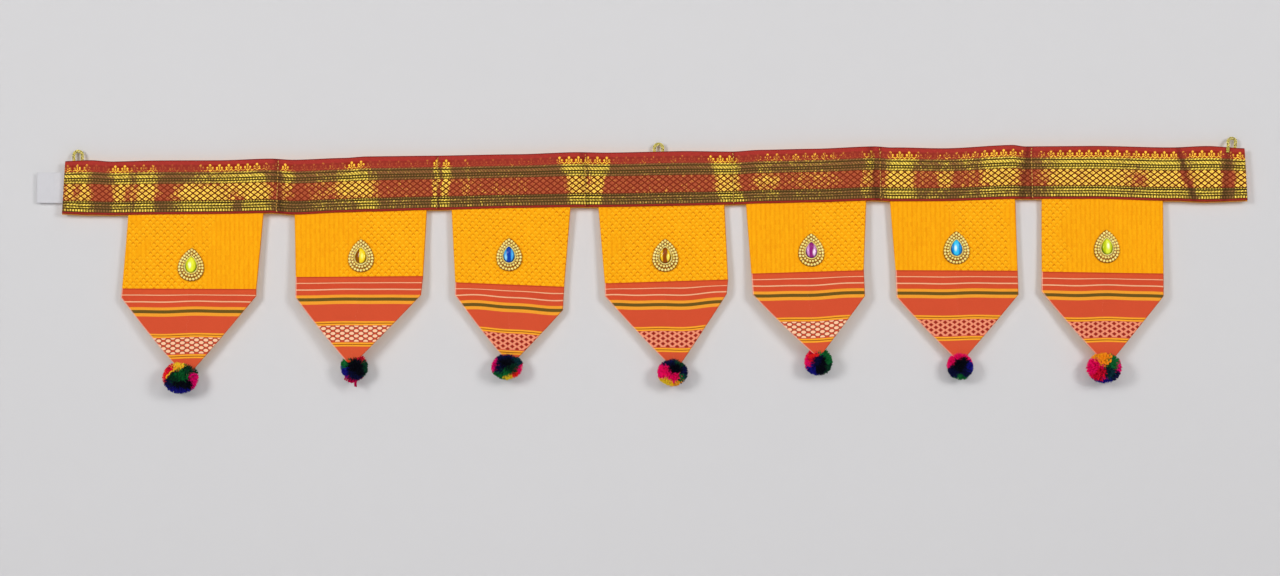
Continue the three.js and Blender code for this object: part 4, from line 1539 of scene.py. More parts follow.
@dataclass
class CordLoop:
    """One hanging loop of doubled, twisted gold cord.

    Its crown is at x and z. A crossed loop's left leg ends in front of the band. The outer
    strand lies apart from the inner one.
    """

    name: str
    x: float
    z: float
    lean: float
    crossed: bool
    opening: float = 5.0
    leg_end: float = -24.0
    leg_spread: float = -0.4
    crossed_leg_end: float = -12.2
    apart: float = 0.35

    def leg(self, side: int, bend: float) -> Array:
        """Middle line of a leg, downwards from the bend.

        Args:
            side: -1 for the left leg and 1 for the right one.
            bend: Radius of the loop's bend.

        Returns:
            Rows of x and z from the loop's crown.
        """
        crossing = self.crossed and side < 0
        end = (self.crossed_leg_end if crossing else self.leg_end) - self.z
        share = np.linspace(0, 1, 24)
        x = side * (bend + self.leg_spread * share)
        return np.stack([x, lerp(-self.opening / 2, end, share)], axis=1)

    def route(self) -> tuple[Array, Array]:
        """The loop's middle line in its own plane, and its outward direction."""
        bend = self.opening / 2 + STRAND_DIAMETER / 2 + STRAND_PITCH / 2
        angle = np.pi * (1 - np.linspace(0, 1, 40))
        arc = np.stack([np.cos(angle), np.sin(angle)], axis=1) * bend + (0, -self.opening / 2)
        line = np.concatenate([self.leg(-1, bend)[::-1], arc[1:-1], self.leg(1, bend)])
        run = unit(np.gradient(line, axis=0))
        return line, np.stack([-run[:, 1], run[:, 0]], axis=1)

    def strand(self, side: float) -> Array:
        """Middle line of one of the two strands.

        Args:
            side: -1 for the inner strand and 1 for the outer one.

        Returns:
            Rows of points in mm.
        """
        line, outward = self.route()
        flat = line + outward * (side * STRAND_PITCH / 2 + max(side, 0) * self.apart)
        x, z = flat.T
        lean = -self.lean * np.clip(-z / 12, 0, 1)
        y = HANG.drape(self.x + x, self.z + z) * smooth(-z, 0, 5)
        if self.crossed:
            in_front = BAND_Y - BAND_THICKNESS / 2 - SEAT_GAP - STRAND_DIAMETER / 2
            y = y + in_front * smooth(-line[:, 0], -1.5, 3) * smooth(-line[:, 1], -3, 5)
        return xyz(self.x + x + lean, y, self.z + z)

    def build(self, tree: Tree, cord: Material) -> BpyObject:
        """Twist the cord along both strands.

        Args:
            tree: Node tree of a cord.
            cord: Its material.

        Returns:
            The loop.
        """
        lines = line_object("strands", [self.strand(-1), self.strand(1)])
        values = {
            "Twist": 2.8 * MM, "Offset": 0.33 * MM, "Radius": 0.38 * MM, "Step": 0.24 * MM,
            "Material": cord,
        }
        made = grown(f"cord_loop_{self.name}", lines, tree, values)
        return declare(made, "gold_cord", f"loop_{self.name}")


class Yarn(Enum):
    """Yarn colours of the pompoms, as sRGB."""

    CRIMSON = (206, 14, 50)
    RED = (238, 32, 32)
    VERMILION = (226, 70, 30)
    PINK = (232, 10, 92)
    MAGENTA = (206, 6, 100)
    WINE = (176, 2, 66)
    ORANGE = (255, 148, 24)
    YELLOW = (250, 186, 40)
    GREEN = (16, 98, 46)
    FOREST = (12, 54, 34)
    TEAL = (14, 48, 56)
    BLUE = (22, 20, 118)
    NAVY = (14, 18, 58)
    BLACK = (9, 11, 22)


# A lobe is a way from a pompom's middle, right, front and up, and the yarn that grows there.
Lobe = tuple[float, float, float, Yarn]


@dataclass(frozen=True)
class Strand:
    """A longer strand that strays over or out of a pompom.

    Attributes:
        start: Way from the pompom's middle to where it starts: right, front and up.
        end: Way to where it ends.
        reach: Distances of both ends in shares of the pompom's size.
        curl: Radius of its curls in mm.
        turns: How many curls it makes.
        yarn: Its colour.
        ply: Radius of each of its two plies in mm.
    """

    start: Triple
    end: Triple
    reach: Point2
    curl: float
    turns: float
    yarn: Yarn
    ply: float = 0.34

    def path(self, centre: Vector, radii: Vector) -> Array:
        """Middle line of the strand.

        Args:
            centre: The pompom's middle.
            radii: Its radii.

        Returns:
            Rows of points in mm.
        """
        t = np.linspace(0, 1, 16 + int(14 * self.turns))[:, None]
        start, end = unit(np.array([self.start, self.end]) * (1, -1, 1))
        line = unit(lerp(start, end, t)) * np.array(radii) * lerp(*self.reach, t)
        angle = TURN * self.turns * t
        coil = np.hstack([np.cos(angle), 0.4 * np.sin(angle), np.sin(angle)])
        return np.array(centre) + line + coil * self.curl * smooth(t, 0.0, 0.25)


def tufts(ways: Sequence[Triple], reach: Point2, curl: float, yarn: Yarn) -> tuple[Strand, ...]:
    """Thick strands that stand straight out of a pompom, each with a slight bend."""
    return tuple(Strand(way, way, reach, curl, 0.6, yarn, 0.5) for way in ways)


def curls(ways: Sequence[Triple], yarn: Yarn) -> tuple[Strand, ...]:
    """Small loose loops on a pompom's surface."""
    return tuple(
        Strand((x, y, z), (x + 0.25, y, z - 0.1), (0.98, 1.04), 1.1, 1.6, yarn) for x, y, z in ways
    )


def drop_outline(width: float, height: float, count: int) -> Array:
    """Drop outline, point up.

    Args:
        width: Its width in mm.
        height: Its height in mm.
        count: Number of points, which lie evenly along it.

    Returns:
        Rows of x and z in mm.
    """
    fine = np.linspace(0, TURN, 721)
    curve_half_width = 0.841
    x = np.sin(fine) * np.abs(np.sin(fine / 2)) ** 0.6 * width / 2 / curve_half_width
    z = np.cos(fine) * height / 2
    run = np.concatenate([[0], np.cumsum(np.hypot(np.diff(x), np.diff(z)))])
    at = np.linspace(0, run[-1], count, endpoint=False)
    return np.stack([np.interp(at, run, x), np.interp(at, run, z)], axis=1)


@dataclass
class Seat:
    """Where a brooch lies on its flap: a place in mm and a rotation."""

    place: Vector
    turn: Matrix

    def out(self, local: Array) -> Array:
        """Points of the brooch's own frame in the part's frame."""
        return local @ np.array(self.turn).T + np.array(self.place)


@dataclass
class Kit:
    """Materials and node trees that the flaps share."""

    backing: Material
    gilt: Material
    plate: Material
    yarn: Material
    beads: Tree
    yarn_ends: Tree
    cord: Tree


Section = tuple[Point2, ...]
STONE_SLOTS = (
    "stone_lime", "stone_amber", "stone_blue", "stone_brown", "stone_purple",
    "stone_turquoise", "stone_lime",
)


@dataclass
class Brooch:
    """Beaded gilt setting with a drop stone.

    Rows of a section are an outline scale and a height above the seat, from back to front.
    Rows of rings are a ring's scale, height, number of beads and their radius.
    """

    number: int
    stone: DropStone
    size: Point2 = (23.4, 29.9)
    stone_size: Point2 = (10.2, 14.7)
    stone_foot: float = 1.3
    bezel_margin: float = 1.5
    plate_section: Section = (
        (0.97, 0.0), (1.0, 0.2), (1.0, 0.55), (0.95, 0.8), (0.6, 0.85), (0.0, 0.85),
    )
    bezel_section: Section = (
        (1.0, 0.7), (1.0, 1.5), (0.97, 1.7), (0.93, 1.65), (0.9, 1.26), (0.0, 1.26),
    )
    rings: tuple[tuple[float, float, int, float], ...] = (
        (0.885, 1.15, 26, 1.22), (0.672, 1.15, 21, 1.08), (0.545, 1.2, 34, 0.42),
    )

    def stone_section(self) -> Section:
        """Rows of outline scale and height of the stone's dome."""
        foot = self.stone_foot
        dome = (
            (math.cos(a) ** 0.85, foot + 0.75 + 2.05 * math.sin(a))
            for a in np.linspace(0, math.pi / 2, 9)[:-1]
        )
        return ((0.97, foot), (1.0, foot + 0.15), *dome, (0.0, foot + 2.8))

    def stack(
        self, name: str, seat: Seat, size: Point2, section: Section, material: Material
    ) -> BpyObject:
        """Closed solid of stacked drop outlines.

        Args:
            name: The object's name.
            seat: Where the brooch lies.
            size: Width and height of the outline in mm.
            section: Outline scale and height above the seat, from back to front.
            material: The material.

        Returns:
            The solid, with its local place in the attribute "drop".
        """
        outline = drop_outline(*size, 56)
        count, levels = len(outline), len(section) - 1
        points = [[0.0, -section[0][1], 0.0]]
        for scale, height in section[:-1]:
            points += [[x * scale, -height, z * scale] for x, z in outline]
        points.append([0.0, -section[-1][1], 0.0])
        last, top = 1 + (levels - 1) * count, 1 + levels * count
        faces = []
        for k in range(count):
            after = (k + 1) % count
            faces.append([0, 1 + k, 1 + after])
            for low in range(1, last, count):
                high = low + count
                faces.append([low + k, high + k, high + after, low + after])
            faces.append([top, last + after, last + k])
        local = np.array(points)
        made = mesh_object(name, seat.out(local), faces, (material,))
        half_width, half_height = size[0] / 2, size[1] / 2
        share = xyz(local[:, 0] / half_width, local[:, 2] / half_height, -local[:, 1])
        set_attribute(made, "drop", share)
        return made

    def bead_rings(self, seat: Seat, kit: Kit) -> list[BpyObject]:
        """Rings of beads that follow the drop outline.

        Args:
            seat: Where the brooch lies.
            kit: Materials and node trees that the flaps share.

        Returns:
            One object for each ring.
        """
        made = []
        for scale, height, count, radius in self.rings:
            x, z = drop_outline(self.size[0] * scale, self.size[1] * scale, 160).T
            ring = seat.out(xyz(x, np.full(len(x), -height), z))
            values = {"Count": count, "Radius": radius * MM, "Material": kit.gilt}
            made.append(grown("ring", line_object("ring", [ring], closed=True), kit.beads, values))
        return made

    def build(self, seat: Seat, kit: Kit) -> list[BpyObject]:
        """Make the setting and the stone.

        Args:
            seat: Where the brooch lies.
            kit: Materials and node trees that the flaps share.

        Returns:
            The setting and the stone.
        """
        name = f"brooch_{self.number}"
        wall = tuple(length + self.bezel_margin for length in self.stone_size)
        plate = self.stack("plate", seat, self.size, self.plate_section, kit.plate)
        bezel = self.stack("bezel", seat, wall, self.bezel_section, kit.gilt)
        setting = joined(f"{name}_setting", [plate, bezel, *self.bead_rings(seat, kit)])
        declare(setting, "brooch_gold", name)
        section, finish = self.stone_section(), self.stone.make()
        drop = self.stack(f"{name}_stone", seat, self.stone_size, section, finish)
        return [setting, declare(drop, STONE_SLOTS[self.number - 1], f"stone_{self.number}")]


@dataclass(frozen=True)
class FlapForm:
    """Outline and fold of one flap, in mm.

    Top, hem and corner are the left and right ends of a line as x and z. Pompom is its x, z,
    width and height, brooch its x, z and tilt, and fold a wave's depth, length and phase.
    """

    top: tuple[Point2, Point2]
    hem: tuple[Point2, Point2]
    corner: tuple[Point2, Point2]
    tip: Point2
    pompom: tuple[float, float, float, float]
    brooch: Triple
    fold: Triple
    tip_shows: bool = False
    tuck: float = 10.0
    tip_width: float = 2.4
    tip_in_front: float = 0.62
    side_bow: Point2 = (1.1, 0.4)
    lean_power: float = 1.5

    def pompom_form(self) -> tuple[Vector, Vector]:
        """Middle and radii of the pompom, its back just off the wall."""
        x, z, width, height = self.pompom
        radii = Vector((width / 2, (width + height) / 4, height / 2))
        return Vector((x, WALL_Y - radii.y, z)), radii

    def tip_y(self) -> float:
        """Depth of the tip: in the pompom's middle, or in front of it."""
        centre, radii = self.pompom_form()
        return centre.y - self.tip_in_front * radii.y if self.tip_shows else centre.y

    def y(self, x: Array, z: Array) -> Array:
        """Middle of the flap's cloth at points of its outline plane.

        Args:
            x: Places across.
            z: Heights.

        Returns:
            The cloth's depths there.
        """
        hang = self.top[0][1]
        down = np.clip((hang - z) / (hang - self.tip[1]), 0, 1)
        lean = (self.tip_y() - FLAP_TOP_Y) * down**self.lean_power
        narrowing = np.abs(np.sin(np.pi * np.minimum(1, down * 1.02))) ** 0.8
        depth, length, phase = self.fold
        fold = depth * narrowing * np.sin(TURN * (x - self.tip[0]) / length + phase)
        drape = HANG.drape(x, np.maximum(z, hang)) * (1 - down) ** 2
        return FLAP_TOP_Y + lean + fold + drape

    def levels(self) -> Array:
        """Left and right ends of the tucked edge, top, hem, corner and tip."""
        tuck = [
            (x - (hem_x - x) / (z - hem_z) * self.tuck, z + self.tuck)
            for (x, z), (hem_x, hem_z) in zip(self.top, self.hem)
        ]
        half = self.tip_width / 2
        point = [(self.tip[0] - half, self.tip[1]), (self.tip[0] + half, self.tip[1])]
        return np.array([tuck, self.top, self.hem, self.corner, point])

    def sides(self, level: Array) -> tuple[Array, Array]:
        """Left and right ends of the flap's rows.

        Args:
            level: Places of the rows from 0, the tucked edge, to 4, the tip.

        Returns:
            Rows of x and z of the left ends and of the right ones.
        """
        table = self.levels()
        i = np.clip(level.astype(int), 0, 3)
        t = (level - i)[:, None]
        left, right = (lerp(table[i, side], table[i + 1, side], t) for side in (0, 1))
        bow = np.where(i == 3, np.sin(np.pi * t[:, 0]), 0)
        left[:, 0] -= bow * self.side_bow[0]
        right[:, 0] += bow * self.side_bow[1]
        return left, right

    def near_tip(self, z: Array) -> tuple[Array, Array]:
        """Middle and half width of the flap near its tip.

        Args:
            z: Heights.

        Returns:
            The x of the middle and the half width there.
        """
        (left_x, left_z), (right_x, right_z) = self.corner
        share = np.clip((z - self.tip[1]) / ((left_z + right_z) / 2 - self.tip[1]), 0, 1)
        middle = lerp(self.tip[0], (right_x + left_x) / 2, share)
        return middle, self.tip_width / 2 + share * (right_x - left_x) / 2


@dataclass
class Pompom:
    """Ball of cut yarn ends at the tip of a flap.

    Core and end_length are shares of its size, and density is the ends on a square mm.
    """

    number: int
    form: FlapForm
    lobes: tuple[Lobe, ...]
    strays: tuple[Strand, ...]
    core: float = 0.78
    end_length: float = 0.27
    density: float = 1.5
    over_tip: float = 5.0
    scatter: float = 0.085
    tones: Point2 = (0.9, 2.1)

    def __post_init__(self) -> None:
        """Work out the ball's middle and radii."""
        self.centre, self.radii = self.form.pompom_form()

    def ball(self, scale: float, detail: int, yarn: Material) -> tuple[BpyObject, Array]:
        """Make a lumpy ball.

        Args:
            scale: Its share of the pompom's size.
            detail: How finely it is divided.
            yarn: Its material.

        Returns:
            The ball and its points in mm.
        """
        shape = bmesh.new()
        bmesh.ops.create_icosphere(shape, subdivisions=detail, radius=1.0)
        shape.verts.index_update()
        way = np.array([v.co[:] for v in shape.verts])
        faces = [[v.index for v in face.verts] for face in shape.faces]
        shape.free()
        lump = (
            np.sin(way[:, 0] * 5 + self.number) * np.sin(way[:, 2] * 4 + 2 * self.number)
            + 0.6 * np.sin(way[:, 1] * 7 + way[:, 0] * 6 + self.number)
        )
        reach = scale * (1 + 0.035 * lump)
        points = way * np.array(self.radii) * reach[:, None] + np.array(self.centre)
        return mesh_object("ball", points, faces, (yarn,)), points

    def paint(self, made: BpyObject, group: int, seed: int) -> None:
        """Colour a mesh by the lobe that each strand grows from.

        Args:
            made: The mesh's object.
            group: Number of points in a strand.
            seed: Start of the random draws.
        """
        place = np.empty(len(made.data.vertices) * 3)
        made.data.vertices.foreach_get("co", place)
        middle = (place.reshape(-1, group, 3) / MM).mean(axis=1) - np.array(self.centre)
        way = unit(middle / np.array(self.radii))
        rng = np.random.default_rng(seed)
        way = way + rng.normal(0, self.scatter, way.shape)
        lobe_ways = unit(np.array([(x, -y, z) for x, y, z, _ in self.lobes], float))
        table = np.array([seen(*lobe[3].value) for lobe in self.lobes])
        colour = table[np.argmax(way @ lobe_ways.T, axis=1)]
        colour[:, :3] *= rng.uniform(*self.tones, (len(colour), 1))
        set_attribute(made, "yarn", np.repeat(np.clip(colour, 0, 1), group, axis=0))

    def stray_yarn(self, kit: Kit) -> list[BpyObject]:
        """Grow the longer strands.

        Args:
            kit: Materials and node trees that the flaps share.

        Returns:
            One object for each strand.
        """
        made = []
        for stray in self.strays:
            values = {
                "Twist": 2.4 * MM, "Offset": 0.85 * stray.ply * MM, "Radius": stray.ply * MM,
                "Step": 0.35 * MM, "Material": kit.yarn,
            }
            line = line_object("stray", [stray.path(self.centre, self.radii)])
            strand = grown("stray", line, kit.cord, values)
            colour = np.array(seen(*stray.yarn.value))
            set_attribute(strand, "yarn", np.tile(colour, (len(strand.data.vertices), 1)))
            made.append(strand)
        return made

    def build(self, kit: Kit) -> BpyObject:
        """Make the ball, leaving room where the flap's tip goes in.

        Args:
            kit: Materials and node trees that the flaps share.

        Returns:
            The pompom.
        """
        source, points = self.ball(self.core, 4, kit.yarn)
        x, y, z = points.T
        middle, half = self.form.near_tip(z)
        bare = np.abs(x - middle) < half + 0.8
        if self.form.tip_shows:
            bare &= (y < self.centre.y + 1) & (z > self.form.tip[1] + self.over_tip)
        else:
            bare &= (np.abs(y - self.centre.y) < 1.5) & (z > self.form.tip[1] - 0.4)
        set_attribute(source, "cover", np.where(bare, 0.0, 1.0))
        values = {
            "Density": self.density / (MM * MM),
            "Length": float(sum(self.radii) / 3) * self.end_length * MM,
            "Base": 0.5 * MM, "End": 0.26 * MM, "Lean": 0.42, "Seed": 10 + self.number,
            "Material": kit.yarn,
        }
        pile = grown("pile", source, kit.yarn_ends, values)
        self.paint(pile, 9, self.number)
        core, _ = self.ball(self.core + 0.01, 3, kit.yarn)
        self.paint(core, 1, 50 + self.number)
        made = joined(f"pompom_{self.number}_yarn", [pile, core, *self.stray_yarn(kit)])
        return declare(made, "pompom_yarn", f"pompom_{self.number}")


@dataclass
class Flap:
    """One pointed flap with its brooch and pompom.

    Rows of bands are a band's first and last level and its number of cells.
    """

    number: int
    form: FlapForm
    cloth: FlapCloth
    stone: DropStone
    lobes: tuple[Lobe, ...]
    strays: tuple[Strand, ...] = ()
    columns: int = 56
    bands: tuple[tuple[float, float, int], ...] = ((0, 1, 5), (1, 2, 32), (2, 3, 8), (3, 4, 36))
    first_levels: tuple[float, ...] = (0.0, 0.035, 0.08)
    last_levels: tuple[float, ...] = (3.985, 3.995, 4.0)
    turning: float = 0.25

    def grid(self) -> tuple[Array, Array]:
        """Grid of the flap's x and z."""
        even = [np.linspace(*band, endpoint=False) for band in self.bands]
        level = np.concatenate([self.first_levels, np.concatenate(even)[1:], self.last_levels])
        left, right = self.form.sides(level)
        share = edge_steps(self.columns, right[:, 0] - left[:, 0])
        return lerp(left[:, :1], right[:, :1], share), lerp(left[:, 1:], right[:, 1:], share)

    def relief(self, x: Array, z: Array) -> Array:
        """Small puckers of the front where the flap is sewn on and down its length.

        Args:
            x: Places across.
            z: Heights.

        Returns:
            Heights of the relief in mm, 0 about the brooch.
        """
        below = self.form.top[0][1] - z
        gathers = 0.16 * np.sin(x * 0.62 + self.number) * np.exp(-np.clip(below, 0, None) / 16)
        crease = 0.14 * np.sin(x * 0.17 + z * 0.045 + 2 * self.number)
        brooch_x, brooch_z, _ = self.form.brooch
        away = smooth(np.hypot(x - brooch_x, z - brooch_z), 17, 30)
        return (gathers + crease) * away * smooth(below, -2, 4)

    def build_cloth(self, back: Material) -> tuple[BpyObject, Slab]:
        """Make the flap's cloth.

        Args:
            back: Material of its back.

        Returns:
            The cloth and the sheet that it is made from.
        """
        form = self.form
        x, z = self.grid()
        (left_x, left_z), (right_x, right_z) = form.hem
        hem = lerp(left_z, right_z, (x - left_x) / (right_x - left_x))
        middle_x = (form.top[0][0] + form.top[1][0]) / 2
        from_left, from_right = x - x[:, :1], x[:, -1:] - x
        side = np.where(from_left < from_right, -from_left, from_right)
        hung = smooth(form.top[0][1] - z, 3, 8)
        turned = self.turning * (1 - smooth(np.minimum(from_left, from_right), 4.6, 5.6)) * hung
        pattern = xyz(x - middle_x, hem - z, side)
        middle = xyz(x, form.y(x, z), z)
        slab = Slab(middle, FLAP_THICKNESS, self.relief(x, z), pattern, turned)
        made = slab.build(f"flap_{self.number}_cloth", self.cloth.make(), back)
        return declare(made, "flap_cloth", f"flap_{self.number}"), slab

    def seat(self, size: Point2) -> Seat:
        """Tangent plane of the flap's front at the brooch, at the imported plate's depth.

        Args:
            size: Width and height of the brooch in mm.

        Returns:
            The brooch's seat.
        """
        x, z, tilt = self.form.brooch
        step = 4.0
        at = self.form.y(np.array([x - step, x + step, x, x]), np.array([z, z, z - step, z + step]))
        slope_x, slope_z = (at[1] - at[0]) / (2 * step), (at[3] - at[2]) / (2 * step)
        turn = (
            Matrix.Rotation(math.atan(slope_x), 3, "Z")
            @ Matrix.Rotation(-math.atan(slope_z), 3, "X")
            @ Matrix.Rotation(math.radians(tilt), 3, "Y")
        )
        outline = drop_outline(*size, 60)
        local = np.insert(outline, 1, 0.0, axis=1)
        deepest = (local @ np.array(turn).T)[:, 1].max()
        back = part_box(f"brooch_{self.number}")[1][1] / MM
        return Seat(Vector((x, back - deepest, z)), turn)

    def build(self, kit: Kit) -> None:
        """Args:
            kit: Materials and node trees that the flaps share.
        """
        made, slab = self.build_cloth(kit.backing)
        brooch = Brooch(self.number, self.stone)
        pieces = brooch.build(self.seat(brooch.size), kit)
        pieces.append(Pompom(self.number, self.form, self.lobes, self.strays).build(kit))
        wide, tall = (float(np.ptp(slab.middle[..., axis]) * MM) for axis in (0, 2))
        min(slab.flat_area(), wide * tall)


